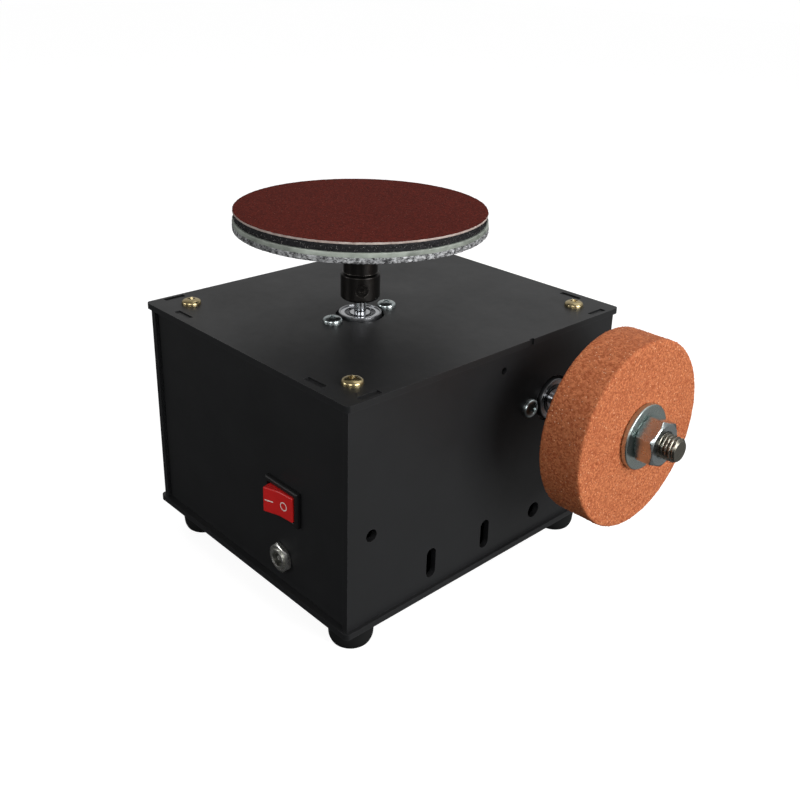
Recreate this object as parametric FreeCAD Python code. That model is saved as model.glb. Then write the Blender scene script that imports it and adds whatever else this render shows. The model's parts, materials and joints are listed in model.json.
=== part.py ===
import FreeCAD, Part
import math
import os

# Two-station bench grinder for stones: a low-voltage motor under the top plate turns a flat
# abrasive disc, and a second one behind the right panel turns a grinding wheel.
# Millimetres.  +X points to the grinding wheel, -Y to the switch, +Z up.
# Z = 0 is the surface that the feet stand on.

Vec = FreeCAD.Vector
X_DIR = Vec(1, 0, 0)
Y_DIR = Vec(0, 1, 0)
Z_DIR = Vec(0, 0, 1)

# ---------------------------------------------------------------- driving dimensions
# Case: two plates with four panels slotted between them.
CASE_WIDTH = 130.0
CASE_DEPTH = 150.0
CASE_HEIGHT = 94.0
PLATE_T = 2.5
PANEL_T = 2.5
PLATE_CORNER_R = 2.0
PLATE_LIP = 1.5
FRONT_RECESS = 3.0
PANEL_GAP = 0.1
TAB_GAP = 0.1
FRONT_TAB_L = 10.0
FRONT_TAB_INSET = 22.5
SIDE_TAB_L = 9.0
TAB_SUNK = 0.6
SIDE_TAB_INSET = 12.0
EDGE_NICK_L = 2.4
EDGE_NICK_D = 0.8
EDGE_NICK_FROM_REAR = 57.0

# Corner posts, feet and their screws.
POST_INSET = 13.5
POST_AF = 7.0
FOOT_H = 13.0
FOOT_TOP_R = 9.5
FOOT_BOTTOM_R = 8.3
FOOT_EDGE_R = 2.0
FOOT_POCKET_R = 4.7
FOOT_POCKET_D = 5.0
SCREW_R = 2.0
SCREW_HEAD_R = 4.0
SCREW_HEAD_H = 2.4
SCREW_HOLE_R = 2.25
THREAD_GAP = 0.05
CORNER_SCREW_L = 10.0
FOOT_SCREW_L = 18.0
POST_THREAD_L = 14.0
RECESS_W = 0.9
RECESS_R = 2.1
RECESS_D = 1.3
TOP_SCREW_TURNS = (25.0, 60.0, 95.0, 130.0)
FOOT_SCREW_TURNS = (0.0, 15.0, 30.0, 45.0)
MOTOR_SCREW_TURNS = (12.0, 58.0)

# Motors (both the same).
MOTOR_R = 21.0
MOTOR_L = 66.0
MOTOR_WALL = 1.6
MOTOR_CAP_L = 9.0
BOSS_WALL = 0.75
BOSS_H = 3.7
BOSS_HOLE_GAP = 1.25
SEAT_L = 4.5
MOTOR_SCREW_SPACING = 29.0
MOTOR_SCREW_L = 6.0
SHAFT_R = 2.5
SHAFT_OUT = 18.0
SHAFT_REAR = 2.0
BEARING_R = 8.0
BEARING_W = 5.0
BEARING_SINK = 0.4
RACE_OPENING = 2.26
BALL_R = 1.93
BALL_PITCH_SHARE = 2.3
FIT_GAP = 0.04
SEAT_WALL = 1.2
COLLAR_WALL = 1.5
REAR_SINK = 1.5
SHAFT_CLEAR = 0.6
SPIGOT_L = 3.0
SPIGOT_WALL = 2.0
SPIGOT_GAP = 0.1
CAP_FLOOR_T = 3.0
BLADE_SLOT_D = 12.0
VENT_RING_R = 15.0
VENT_COUNT = 4
MAGNET_T = 4.5
MAGNET_ARC = 130.0
MAGNET_FROM_FRONT = 12.0
MAGNET_OVERHANG = 3.0
AIR_GAP = 0.7
CORE_L = 30.0
POLES = 5
POLE_ARC = 360.0 / POLES
POLE_GAP_ARC = 14.0
POLE_TIP_T = 2.0
CORE_HUB_R = 6.0
TOOTH_W = 4.0
COIL_T = 2.2
COIL_END_T = 2.4
COIL_FROM_HUB = 0.6
COIL_FROM_TIP = 3.2
COIL_GAP = 0.1
COIL_GAP_ARC = 4.0
COMMUTATOR_R = 5.0
COMMUTATOR_L = 10.0
COMMUTATOR_FROM_CORE = 3.0
BAR_GAP_ARC = 8.0
BRUSH_W = 4.0
BRUSH_INSET = 2.0
BRUSH_GAP = 0.1
BLADE_GAP = 0.1
TERMINAL_W = 4.8
TERMINAL_T = 0.8
TERMINAL_L = 7.0
TERMINAL_OFFSET = 14.0
VENT_R = 2.4
MOTOR_SPIN = 90.0

# Where the two shafts are.
DISC_X = 1.5
WHEEL_DROP = 31.0
MOTOR_TO_POST = 1.0
MOTOR_TO_MOTOR = 9.0

# Abrasive disc station.
DISC_R = 50.0
ABRASIVE_T = 0.8
HOOK_PAD_T = 3.0
BACKING_TOP_T = 1.8
BACKING_LOW_T = 2.1
BACKING_LOW_OVERHANG = 0.4
COLLET_R = 8.0
COLLET_L = 11.3
COLLET_NECK_R = 6.9
COLLET_NECK_L = 18.6
COLLET_CLEAR = 7.0
COLLET_CHAMFER = 0.9
COLLET_STUD_R = 5.0
COLLET_WASHER_R = 9.5
COLLET_WASHER_T = 1.0
GRUB_R = 2.5
GRUB_L = 5.0
GRUB_ANGLE = -36.0
GRUB_BELOW_MID = 0.4
GRUB_TIP_GAP = 0.05
GRUB_SUNK = 0.3
SOCKET_END_GAP = 1.0
DISC_WASHER_GAP = 0.1
HOOK_PAD_INSET = 0.3

# Grinding wheel station.
WHEEL_R = 38.0
WHEEL_T = 19.0
WHEEL_BORE_GAP = 0.1
ARBOR_R = 8.0
ARBOR_L = 14.0
ARBOR_CLEAR = 7.0
ARBOR_GRUB_BELOW_MID = 1.5
STUD_R = 5.0
STUD_FREE_L = 6.5
STUD_CHAMFER = 1.0
WASHER_R = 13.3
WASHER_T = 2.5
INNER_WASHER_T = 3.0
NUT_AF = 17.0
NUT_H = 8.0
NUT_TURN = 8.0
NUT_CHAMFER_SHARE = 0.8
ROOT_OF_3_HALF = math.sqrt(3) / 2

# Rocker switch.
SWITCH_FROM_RIGHT = 40.0
SWITCH_UP = 39.5
BEZEL_L = 20.0
BEZEL_H = 15.0
BEZEL_T = 2.0
BEZEL_EDGE_R = 0.8
SWITCH_BODY_L = 18.6
SWITCH_BODY_H = 13.2
SWITCH_BODY_DEEP = 14.0
SWITCH_CUT_GAP = 0.1
ROCKER_L = 14.6
ROCKER_H = 10.6
ROCKER_GAP = 0.2
ROCKER_SWING_GAP = 1.0
ROCKER_TILT = 12.0
ROCKER_SLOPE = 7.0
ROCKER_MID_RISE = 1.3
ROCKER_UNDER = 3.0
ROCKER_WELL_D = 6.5
PIVOT_R = 1.2
PIVOT_L = 0.7
PIVOT_DEEP = 0.8
PIVOT_END_GAP = 0.1

# Power inlet.
JACK_FROM_RIGHT = 42.0
JACK_UP = 13.5
JACK_BARREL_R = 4.0
JACK_OUT = 2.9
JACK_BORE_R = 3.0
JACK_BORE_D = 9.5
JACK_PIN_R = 1.05
JACK_PIN_SUNK = 1.2
JACK_NUT_AF = 11.0
JACK_NUT_H = 2.2
JACK_NUT_TURN = 10.0
JACK_BODY_R = 5.5
JACK_BODY_L = 12.0
JACK_TAG_L = 6.0
JACK_TAG_OFFSET = 2.5
SWITCH_BLADE_OFFSET = 5.0

# Openings in the right panel: distance from the front edge, height above the case bottom.
VENT_SLOT_W = 5.0
VENT_SLOT_L = 13.0
VENT_SLOT_UP = 13.3
VENT_SLOTS_FROM_FRONT = (43.6, 74.0)
SIDE_HOLES = (
    (12.6, 39.0, 2.5),
    (105.0, 12.0, 3.5),
    (79.3, 84.0, 1.5),
)
WIRE_R = 1.1
WIRE_BEND = 5.0
WIRE_PAIR_STEP = 2.4
LOW_LANE_UP = 2.0
HIGH_LANE_UP = 4.5
LEFT_LANE_CLEAR = 8.5
FAR_LANE_STEP = 8.0
LONG_TAIL = 8.5
SHORT_TAIL = 6.0

# ---------------------------------------------------------------- derived places
BOSS_R = BEARING_R + BOSS_WALL
BOSS_HOLE_R = BOSS_R + BOSS_HOLE_GAP
CASE_BOTTOM = FOOT_H
CASE_TOP = FOOT_H + CASE_HEIGHT
TAB_BOTTOM = CASE_BOTTOM + TAB_SUNK
TAB_TOP = CASE_TOP - TAB_SUNK
PANEL_BOTTOM = CASE_BOTTOM + PLATE_T
PANEL_TOP = CASE_TOP - PLATE_T
HALF_W = CASE_WIDTH / 2
HALF_D = CASE_DEPTH / 2
SIDE_OUT = HALF_W - PLATE_LIP
SIDE_IN = SIDE_OUT - PANEL_T
FRONT_OUT = HALF_D - FRONT_RECESS
FRONT_IN = FRONT_OUT - PANEL_T
POST_X = HALF_W - POST_INSET
POST_Y = HALF_D - POST_INSET
CORNERS = [(sx * POST_X, sy * POST_Y) for sx in (-1, 1) for sy in (-1, 1)]
SWITCH_X = HALF_W - SWITCH_FROM_RIGHT
SWITCH_Z = CASE_BOTTOM + SWITCH_UP
JACK_X = HALF_W - JACK_FROM_RIGHT
JACK_Z = CASE_BOTTOM + JACK_UP
# The level motor clears the rear corner post, and the upright motor clears the level one.
WHEEL_Y = POST_Y - POST_AF / 2 - MOTOR_TO_POST - MOTOR_R
DISC_Y = WHEEL_Y - 2 * MOTOR_R - MOTOR_TO_MOTOR
WHEEL_Z = CASE_TOP - WHEEL_DROP
COLLET_BOTTOM = CASE_TOP + COLLET_CLEAR
COLLET_TOP = COLLET_BOTTOM + COLLET_L + COLLET_NECK_L
BACKING_BOTTOM = COLLET_TOP
ARBOR_START = SIDE_OUT + ARBOR_CLEAR
WHEEL_BACK = ARBOR_START + ARBOR_L + INNER_WASHER_T
WHEEL_FRONT = WHEEL_BACK + WHEEL_T
STUD_END = WHEEL_FRONT + WASHER_T + NUT_H + STUD_FREE_L
BEZEL_FRONT = -FRONT_OUT - BEZEL_T
PIVOT_Y = -FRONT_OUT + PIVOT_DEEP
ROCKER_MID = BEZEL_FRONT - ROCKER_MID_RISE - PIVOT_Y
ROCKER_END = ROCKER_MID - ROCKER_L / 2 * math.tan(math.radians(ROCKER_SLOPE))
REST = math.radians(ROCKER_TILT)
ROCKER_FRONT = PIVOT_Y + ROCKER_END * math.cos(REST) - ROCKER_L / 2 * math.sin(REST)
# The origin lies under the middle of the whole machine: stud end to left plate edge, and
# raised end of the rocker to rear plate edge.
ORIGIN_X = (STUD_END - HALF_W) / 2
ORIGIN_Y = (HALF_D + ROCKER_FRONT) / 2


# ---------------------------------------------------------------- helpers
def box(x0, x1, y0, y1, z0, z1):
    return Part.makeBox(x1 - x0, y1 - y0, z1 - z0, Vec(x0, y0, z0))


def rod(radius, length, start, direction=Z_DIR):
    return Part.makeCylinder(radius, length, start, direction)


def tube(outer, inner, length, start, direction=Z_DIR):
    return rod(outer, length, start, direction).cut(rod(inner, length, start, direction))


def polygon(points, extrusion):
    wire = Part.makePolygon(points + [points[0]])
    return Part.Face(wire).extrude(extrusion)


def hexagon(across_flats, length, start, direction=Z_DIR, turn=0.0):
    """Hexagonal bar; at turn 0 two of its flats face along the local Y axis."""
    corner = across_flats / 2 / ROOT_OF_3_HALF
    points = []
    for k in range(6):
        angle = math.radians(60 * k + turn)
        points.append(Vec(corner * math.cos(angle), corner * math.sin(angle), 0))
    bar = polygon(points, Z_DIR * length)
    return stood_on(bar, start, direction)


def stood_on(shape, start, direction):
    """Moves a shape made at the origin along +Z so that it starts at a point, along a direction."""
    placed = shape.copy()
    turn = FreeCAD.Rotation(Z_DIR, direction)
    placed.Placement = FreeCAD.Placement(start, turn).multiply(placed.Placement)
    return placed


def fuse_all(shapes):
    first = shapes[0]
    if len(shapes) == 1:
        return first
    return first.multiFuse(shapes[1:]).removeSplitter()


def chamfered_rod(radius, length, chamfer):
    body = rod(radius, length - 2 * chamfer, Vec(0, 0, chamfer))
    low = Part.makeCone(radius - chamfer, radius, chamfer, Vec(0, 0, 0))
    high = Part.makeCone(radius, radius - chamfer, chamfer, Vec(0, 0, length - chamfer))
    return fuse_all([body, low, high])


def save(node, *shapes):
    moved = []
    for shape in shapes:
        for solid in shape.Solids:
            copy = solid.copy()
            copy.translate(Vec(-ORIGIN_X, -ORIGIN_Y, 0))
            moved.append(copy)
    result = moved[0] if len(moved) == 1 else Part.makeCompound(moved)
    result.exportStep("parts/" + node + ".step")
    print(node, len(moved), "solids", round(result.Volume, 1), "mm3", "valid", result.isValid())


def pan_screw(length, turn=0.0):
    """Pan-head cross-recessed screw: under the head at z = 0, shank down, head up."""
    shank = rod(SCREW_R, length, Vec(0, 0, -length))
    dome_r = (SCREW_HEAD_R ** 2 + SCREW_HEAD_H ** 2) / (2 * SCREW_HEAD_H)
    ball = Part.makeSphere(dome_r, Vec(0, 0, SCREW_HEAD_H - dome_r))
    head = rod(SCREW_HEAD_R, SCREW_HEAD_H, Vec(0, 0, 0)).common(ball)
    screw = fuse_all([shank, head])
    for k in range(2):
        bar = box(-RECESS_R, RECESS_R, -RECESS_W / 2, RECESS_W / 2, SCREW_HEAD_H - RECESS_D, SCREW_HEAD_H)
        bar.rotate(Vec(0, 0, 0), Z_DIR, turn + 90 * k)
        screw = screw.cut(bar)
    return screw


# ---------------------------------------------------------------- case
def front_tab_centres():
    return [sx * (HALF_W - FRONT_TAB_INSET) for sx in (-1, 1)]


def side_tab_centres():
    return [sy * (HALF_D - SIDE_TAB_INSET) for sy in (-1, 1)]


def plate_slots(z0):
    """Cutters for the eight slots that take the tabs of the panels."""
    cutters = []
    half_t = PANEL_T / 2 + TAB_GAP
    for sy in (-1, 1):
        mid = sy * (FRONT_OUT - PANEL_T / 2)
        for x in front_tab_centres():
            half = FRONT_TAB_L / 2 + TAB_GAP
            cutters.append(box(x - half, x + half, mid - half_t, mid + half_t, z0, z0 + PLATE_T))
    for sx in (-1, 1):
        mid = sx * (SIDE_OUT - PANEL_T / 2)
        for y in side_tab_centres():
            half = SIDE_TAB_L / 2 + TAB_GAP
            cutters.append(box(mid - half_t, mid + half_t, y - half, y + half, z0, z0 + PLATE_T))
    return cutters


def case_plate(z0):
    plate = box(-HALF_W, HALF_W, -HALF_D, HALF_D, z0, z0 + PLATE_T)
    uprights = []
    for edge in plate.Edges:
        if abs(edge.BoundBox.ZLength - PLATE_T) < 0.01:
            uprights.append(edge)
    plate = plate.makeFillet(PLATE_CORNER_R, uprights)
    cutters = plate_slots(z0)
    for x, y in CORNERS:
        cutters.append(rod(SCREW_HOLE_R, PLATE_T, Vec(x, y, z0)))
    return plate.cut(cutters)


def motor_cutters(start, direction, across):
    """Holes for a motor's boss and its two screws, through a sheet that starts at a point."""
    cutters = [rod(BOSS_HOLE_R, PANEL_T + PLATE_T, start, direction)]
    for side in (-1, 1):
        place = start + across * (side * MOTOR_SCREW_SPACING / 2)
        cutters.append(rod(SCREW_HOLE_R, PANEL_T + PLATE_T, place, direction))
    return cutters


def make_top_plate():
    plate = case_plate(PANEL_TOP)
    cutters = motor_cutters(Vec(DISC_X, DISC_Y, PANEL_TOP), Z_DIR, Y_DIR)
    nick_y = HALF_D - EDGE_NICK_FROM_REAR
    cutters.append(box(HALF_W - EDGE_NICK_D, HALF_W, nick_y - EDGE_NICK_L / 2, nick_y + EDGE_NICK_L / 2,
                       PANEL_TOP, CASE_TOP))
    save("top_plate", plate.cut(cutters))


def make_bottom_plate():
    save("bottom_plate", case_plate(CASE_BOTTOM))


def end_panel(sy):
    """Front (sy = -1) or rear panel with its four tabs."""
    y0 = min(sy * FRONT_IN, sy * FRONT_OUT)
    half = SIDE_IN - PANEL_GAP
    pieces = [box(-half, half, y0, y0 + PANEL_T, PANEL_BOTTOM, PANEL_TOP)]
    for x in front_tab_centres():
        x0 = x - FRONT_TAB_L / 2
        pieces.append(box(x0, x0 + FRONT_TAB_L, y0, y0 + PANEL_T, TAB_BOTTOM, TAB_TOP))
    return fuse_all(pieces)


def side_panel(sx):
    """Left (sx = -1) or right panel with its four tabs."""
    x0 = min(sx * SIDE_IN, sx * SIDE_OUT)
    half = HALF_D - PLATE_LIP
    pieces = [box(x0, x0 + PANEL_T, -half, half, PANEL_BOTTOM, PANEL_TOP)]
    for y in side_tab_centres():
        y0 = y - SIDE_TAB_L / 2
        pieces.append(box(x0, x0 + PANEL_T, y0, y0 + SIDE_TAB_L, TAB_BOTTOM, TAB_TOP))
    return fuse_all(pieces)


def vent_slot(y, z, x0):
    """Upright slot with round ends, as a cutter through a side panel."""
    straight = (VENT_SLOT_L - VENT_SLOT_W) / 2
    half_w = VENT_SLOT_W / 2
    pieces = [box(x0, x0 + PANEL_T, y - half_w, y + half_w, z - straight, z + straight)]
    for side in (-1, 1):
        pieces.append(rod(half_w, PANEL_T, Vec(x0, y, z + side * straight), X_DIR))
    return fuse_all(pieces)


def make_panels():
    front = end_panel(-1)
    half_l = SWITCH_BODY_L / 2 + SWITCH_CUT_GAP
    half_h = SWITCH_BODY_H / 2 + SWITCH_CUT_GAP
    switch_cut = box(SWITCH_X - half_l, SWITCH_X + half_l, -FRONT_OUT, -FRONT_IN,
                     SWITCH_Z - half_h, SWITCH_Z + half_h)
    jack_cut = rod(JACK_BARREL_R + SWITCH_CUT_GAP, PANEL_T, Vec(JACK_X, -FRONT_OUT, JACK_Z), Y_DIR)
    save("front_panel", front.cut([switch_cut, jack_cut]))
    save("rear_panel", end_panel(1))

    right = side_panel(1)
    cutters = motor_cutters(Vec(SIDE_IN, WHEEL_Y, WHEEL_Z), X_DIR, Y_DIR)
    for from_front in VENT_SLOTS_FROM_FRONT:
        cutters.append(vent_slot(from_front - HALF_D, CASE_BOTTOM + VENT_SLOT_UP, SIDE_IN))
    for from_front, up, radius in SIDE_HOLES:
        place = Vec(SIDE_IN, from_front - HALF_D, CASE_BOTTOM + up)
        cutters.append(rod(radius, PANEL_T, place, X_DIR))
    save("right_panel", right.cut(cutters))

    left = side_panel(-1)
    cutters = []
    for from_front in VENT_SLOTS_FROM_FRONT:
        cutters.append(vent_slot(from_front - HALF_D, CASE_BOTTOM + VENT_SLOT_UP, -SIDE_OUT))
    save("left_panel", left.cut(cutters))


def make_posts_and_feet():
    posts = []
    top_screws = []
    feet = []
    foot_screws = []
    post_l = PANEL_TOP - PANEL_BOTTOM
    for k, (x, y) in enumerate(CORNERS):
        post = hexagon(POST_AF, post_l, Vec(x, y, PANEL_BOTTOM))
        for z in (PANEL_BOTTOM, PANEL_TOP - POST_THREAD_L):
            post = post.cut(rod(SCREW_R + THREAD_GAP, POST_THREAD_L, Vec(x, y, z)))
        posts.append(post)
        top_screw = pan_screw(CORNER_SCREW_L, TOP_SCREW_TURNS[k])
        top_screws.append(stood_on(top_screw, Vec(x, y, CASE_TOP), Z_DIR))
        feet.append(rubber_foot(x, y))
        foot_screw = pan_screw(FOOT_SCREW_L, FOOT_SCREW_TURNS[k])
        foot_screws.append(stood_on(foot_screw, Vec(x, y, FOOT_POCKET_D), -Z_DIR))
    save("corner_posts", *posts)
    save("top_screws", *top_screws)
    save("rubber_feet", *feet)
    save("foot_screws", *foot_screws)


def rubber_foot(x, y):
    """Tapered foot, narrower at the floor, with a pocket for the head of its screw."""
    cone = Part.makeCone(FOOT_BOTTOM_R, FOOT_TOP_R, FOOT_H, Vec(0, 0, 0))
    lower = [edge for edge in cone.Edges if edge.BoundBox.ZMax < 0.01]
    foot = cone.makeFillet(FOOT_EDGE_R, lower)
    pocket = rod(FOOT_POCKET_R, FOOT_POCKET_D, Vec(0, 0, 0))
    hole = rod(SCREW_HOLE_R, FOOT_H, Vec(0, 0, 0))
    foot = foot.cut([pocket, hole])
    foot.translate(Vec(x, y, 0))
    return foot


# ---------------------------------------------------------------- motors
def sector(outer, inner, z0, length, middle, spread):
    """Part of a ring between two radii, centred on an angle and spread over another."""
    ring = tube(outer, inner, length, Vec(0, 0, z0))
    far = 2 * outer
    half = math.radians(spread / 2)
    mid = math.radians(middle)
    points = [Vec(0, 0, z0)]
    for step in range(-2, 3):
        angle = mid + half * step / 2
        points.append(Vec(far * math.cos(angle), far * math.sin(angle), z0))
    return ring.common(polygon(points, Z_DIR * length))


def motor_bearing(z0):
    """Ball bearing from z0 up: outer race, inner race and balls as separate lists."""
    inner_r = SHAFT_R + FIT_GAP
    pitch_r = (inner_r + BEARING_R) / 2
    centre_z = z0 + BEARING_W / 2
    groove = Part.makeTorus(pitch_r, BALL_R + FIT_GAP, Vec(0, 0, centre_z))
    outer = tube(BEARING_R, pitch_r + RACE_OPENING / 2, BEARING_W, Vec(0, 0, z0)).cut(groove)
    inner = tube(pitch_r - RACE_OPENING / 2, inner_r, BEARING_W, Vec(0, 0, z0)).cut(groove)
    balls = []
    count = math.floor(2 * math.pi * pitch_r / (BALL_PITCH_SHARE * BALL_R))
    for k in range(count):
        angle = 2 * math.pi * k / count
        place = Vec(pitch_r * math.cos(angle), pitch_r * math.sin(angle), centre_z)
        balls.append(Part.makeSphere(BALL_R, place))
    return outer, inner, balls


def motor_can(bearing_z):
    """Steel can: closed at the front, with the bearing boss, two threaded holes and four vents."""
    can_l = MOTOR_L - MOTOR_CAP_L
    pocket_r = BEARING_R + FIT_GAP
    can = rod(MOTOR_R, can_l, Vec(0, 0, -can_l))
    boss = rod(BOSS_R, BOSS_H, Vec(0, 0, 0))
    bearing_seat = rod(pocket_r + SEAT_WALL, SEAT_L, Vec(0, 0, -SEAT_L))
    hollow = rod(MOTOR_R - MOTOR_WALL, can_l - MOTOR_WALL, Vec(0, 0, -can_l))
    can = fuse_all([can.cut(hollow), boss, bearing_seat])
    cutters = [rod(pocket_r, BOSS_H - bearing_z, Vec(0, 0, bearing_z))]
    # The lip under the bearing touches only its outer race.
    cutters.append(rod((SHAFT_R + BEARING_R) / 2, SEAT_L, Vec(0, 0, -SEAT_L)))
    for side in (-1, 1):
        place = Vec(side * MOTOR_SCREW_SPACING / 2, 0, -MOTOR_SCREW_L)
        cutters.append(rod(SCREW_R + THREAD_GAP, MOTOR_SCREW_L, place))
    for k in range(VENT_COUNT):
        angle = math.radians(360.0 * (k + 0.5) / VENT_COUNT)
        place = Vec(VENT_RING_R * math.cos(angle), VENT_RING_R * math.sin(angle), -MOTOR_WALL)
        cutters.append(rod(VENT_R, MOTOR_WALL, place))
    return can.cut(cutters)


def motor_end_cap(bearing_z):
    """Plastic end cap that carries the rear bearing and the brushes."""
    can_l = MOTOR_L - MOTOR_CAP_L
    pocket_r = BEARING_R + FIT_GAP
    spigot_r = MOTOR_R - MOTOR_WALL - SPIGOT_GAP
    outside = rod(MOTOR_R, MOTOR_CAP_L, Vec(0, 0, -MOTOR_L))
    spigot = rod(spigot_r, SPIGOT_L, Vec(0, 0, -can_l))
    hollow = rod(spigot_r - SPIGOT_WALL, MOTOR_CAP_L, Vec(0, 0, CAP_FLOOR_T - MOTOR_L + SPIGOT_L))
    collar = rod(pocket_r + COLLAR_WALL, BEARING_W + SHAFT_REAR / 2, Vec(0, 0, -MOTOR_L))
    cap = fuse_all([fuse_all([outside, spigot]).cut(hollow), collar])
    cutters = [
        rod(pocket_r, 2 * BEARING_W, Vec(0, 0, bearing_z)),
        rod(SHAFT_R + SHAFT_CLEAR, MOTOR_CAP_L, Vec(0, 0, -MOTOR_L)),
    ]
    half_w = TERMINAL_W / 2
    for side in (-1, 1):
        y0 = side * TERMINAL_OFFSET - TERMINAL_T / 2
        cutters.append(box(-half_w, half_w, y0, y0 + TERMINAL_T, -MOTOR_L, BLADE_SLOT_D - MOTOR_L))
    return cap.cut(cutters)


def motor_core(core_r, core_z):
    """Stack of steel laminations: a hub, and a tooth with a curved tip for each pole."""
    half_w = TOOTH_W / 2
    parts = [rod(CORE_HUB_R, CORE_L, Vec(0, 0, core_z))]
    for k in range(POLES):
        turn = POLE_ARC * k
        tooth = box(0, core_r - POLE_TIP_T / 2, -half_w, half_w, core_z, core_z + CORE_L)
        tooth.rotate(Vec(0, 0, 0), Z_DIR, turn)
        parts.append(tooth)
        tip_arc = POLE_ARC - POLE_GAP_ARC
        parts.append(sector(core_r, core_r - POLE_TIP_T, core_z, CORE_L, turn, tip_arc))
    return fuse_all(parts).cut(rod(SHAFT_R + FIT_GAP, CORE_L, Vec(0, 0, core_z)))


def motor_coils(core_r, core_z):
    """A winding round each tooth, narrow enough to clear the windings beside it."""
    outer_r = core_r - COIL_FROM_TIP
    half_w = TOOTH_W / 2
    wide = half_w + COIL_T
    tight = half_w + COIL_GAP
    bottom = core_z - COIL_END_T
    top = core_z + CORE_L + COIL_END_T
    coils = []
    for k in range(POLES):
        coil = box(CORE_HUB_R + COIL_FROM_HUB, outer_r, -wide, wide, bottom, top)
        window_z = core_z - COIL_GAP
        window = box(CORE_HUB_R, core_r, -tight, tight, window_z, core_z + CORE_L + COIL_GAP)
        wedge = sector(2 * outer_r, CORE_HUB_R, bottom, top - bottom, 0, POLE_ARC - COIL_GAP_ARC)
        coil = coil.cut(window).common(wedge)
        coil.rotate(Vec(0, 0, 0), Z_DIR, POLE_ARC * k)
        coils.append(coil)
    return coils


def motor_brushes(brush_z):
    """Two carbon brushes beside the commutator, and the two terminal blades that they touch."""
    brushes = []
    blades = []
    reach = TERMINAL_OFFSET - TERMINAL_T / 2 + BLADE_GAP / 2
    half_w = TERMINAL_W / 2 - BLADE_GAP
    half_t = (TERMINAL_T - BLADE_GAP) / 2
    top = brush_z + BRUSH_W
    for side in (-1, 1):
        brush = box(COMMUTATOR_R + BRUSH_GAP, reach, -BRUSH_W / 2, BRUSH_W / 2, brush_z, top)
        brush.rotate(Vec(0, 0, 0), Z_DIR, 90.0 * side)
        brushes.append(brush)
        y = side * TERMINAL_OFFSET
        blades.append(box(-half_w, half_w, y - half_t, y + half_t, -MOTOR_L - TERMINAL_L, top))
    return brushes, blades


def motor_pieces():
    """One motor with its front face at z = 0, its shaft along +Z and its body below."""
    pieces = {}
    front_bearing_z = BOSS_H - BEARING_W - BEARING_SINK
    rear_bearing_z = -MOTOR_L + REAR_SINK
    pieces["can"] = [motor_can(front_bearing_z)]
    pieces["end_cap"] = [motor_end_cap(rear_bearing_z)]

    # Two curved magnets against the wall of the can.
    magnet_out = MOTOR_R - MOTOR_WALL - SPIGOT_GAP
    magnet_in = magnet_out - MAGNET_T
    magnet_l = CORE_L + 2 * MAGNET_OVERHANG
    magnet_z = -MAGNET_FROM_FRONT - magnet_l
    magnets = []
    for middle in (0, 180):
        magnets.append(sector(magnet_out, magnet_in, magnet_z, magnet_l, middle, MAGNET_ARC))
    pieces["magnets"] = magnets

    # What turns: the shaft and inner races, the core, its windings and the commutator.
    shaft_z = -MOTOR_L - SHAFT_REAR
    pieces["shaft"] = [rod(SHAFT_R, SHAFT_OUT - shaft_z, Vec(0, 0, shaft_z))]
    front = motor_bearing(front_bearing_z)
    rear = motor_bearing(rear_bearing_z)
    pieces["bearing_outers"] = [front[0], rear[0]]
    pieces["bearing_inners"] = [front[1], rear[1]]
    pieces["bearing_balls"] = front[2] + rear[2]

    core_r = magnet_in - AIR_GAP
    core_z = magnet_z + MAGNET_OVERHANG
    pieces["core"] = [motor_core(core_r, core_z)]
    pieces["windings"] = motor_coils(core_r, core_z)

    commutator_z = core_z - COMMUTATOR_FROM_CORE - COMMUTATOR_L
    bars = []
    for k in range(POLES):
        middle = POLE_ARC * (k + 0.5)
        bar_arc = POLE_ARC - BAR_GAP_ARC
        inner = SHAFT_R + FIT_GAP
        bars.append(sector(COMMUTATOR_R, inner, commutator_z, COMMUTATOR_L, middle, bar_arc))
    pieces["commutator"] = bars

    brushes, blades = motor_brushes(commutator_z + BRUSH_INSET)
    pieces["brushes"] = brushes
    pieces["terminals"] = blades
    return pieces


def motor_screw_pair(sheet_t):
    screws = []
    for side, turn in zip((-1, 1), MOTOR_SCREW_TURNS):
        screw = pan_screw(MOTOR_SCREW_L, turn)
        screw.translate(Vec(side * MOTOR_SCREW_SPACING / 2, 0, sheet_t))
        screws.append(screw)
    return screws


def place_motor(prefix, start, direction, sheet_t):
    """Writes one motor's nodes with its front face at a point and its shaft along a direction."""
    pieces = motor_pieces()
    pieces["screws"] = motor_screw_pair(sheet_t)
    for name, shapes in pieces.items():
        placed = []
        for shape in shapes:
            turned = shape.copy()
            turned.rotate(Vec(0, 0, 0), Z_DIR, MOTOR_SPIN)
            placed.append(stood_on(turned, start, direction))
        save(prefix + "_" + name, *placed)


# ---------------------------------------------------------------- abrasive disc station
def grub_cutter(axis_point, radial, reach):
    return stood_on(rod(GRUB_R + THREAD_GAP, reach, Vec(0, 0, 0)), axis_point, radial)


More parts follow.
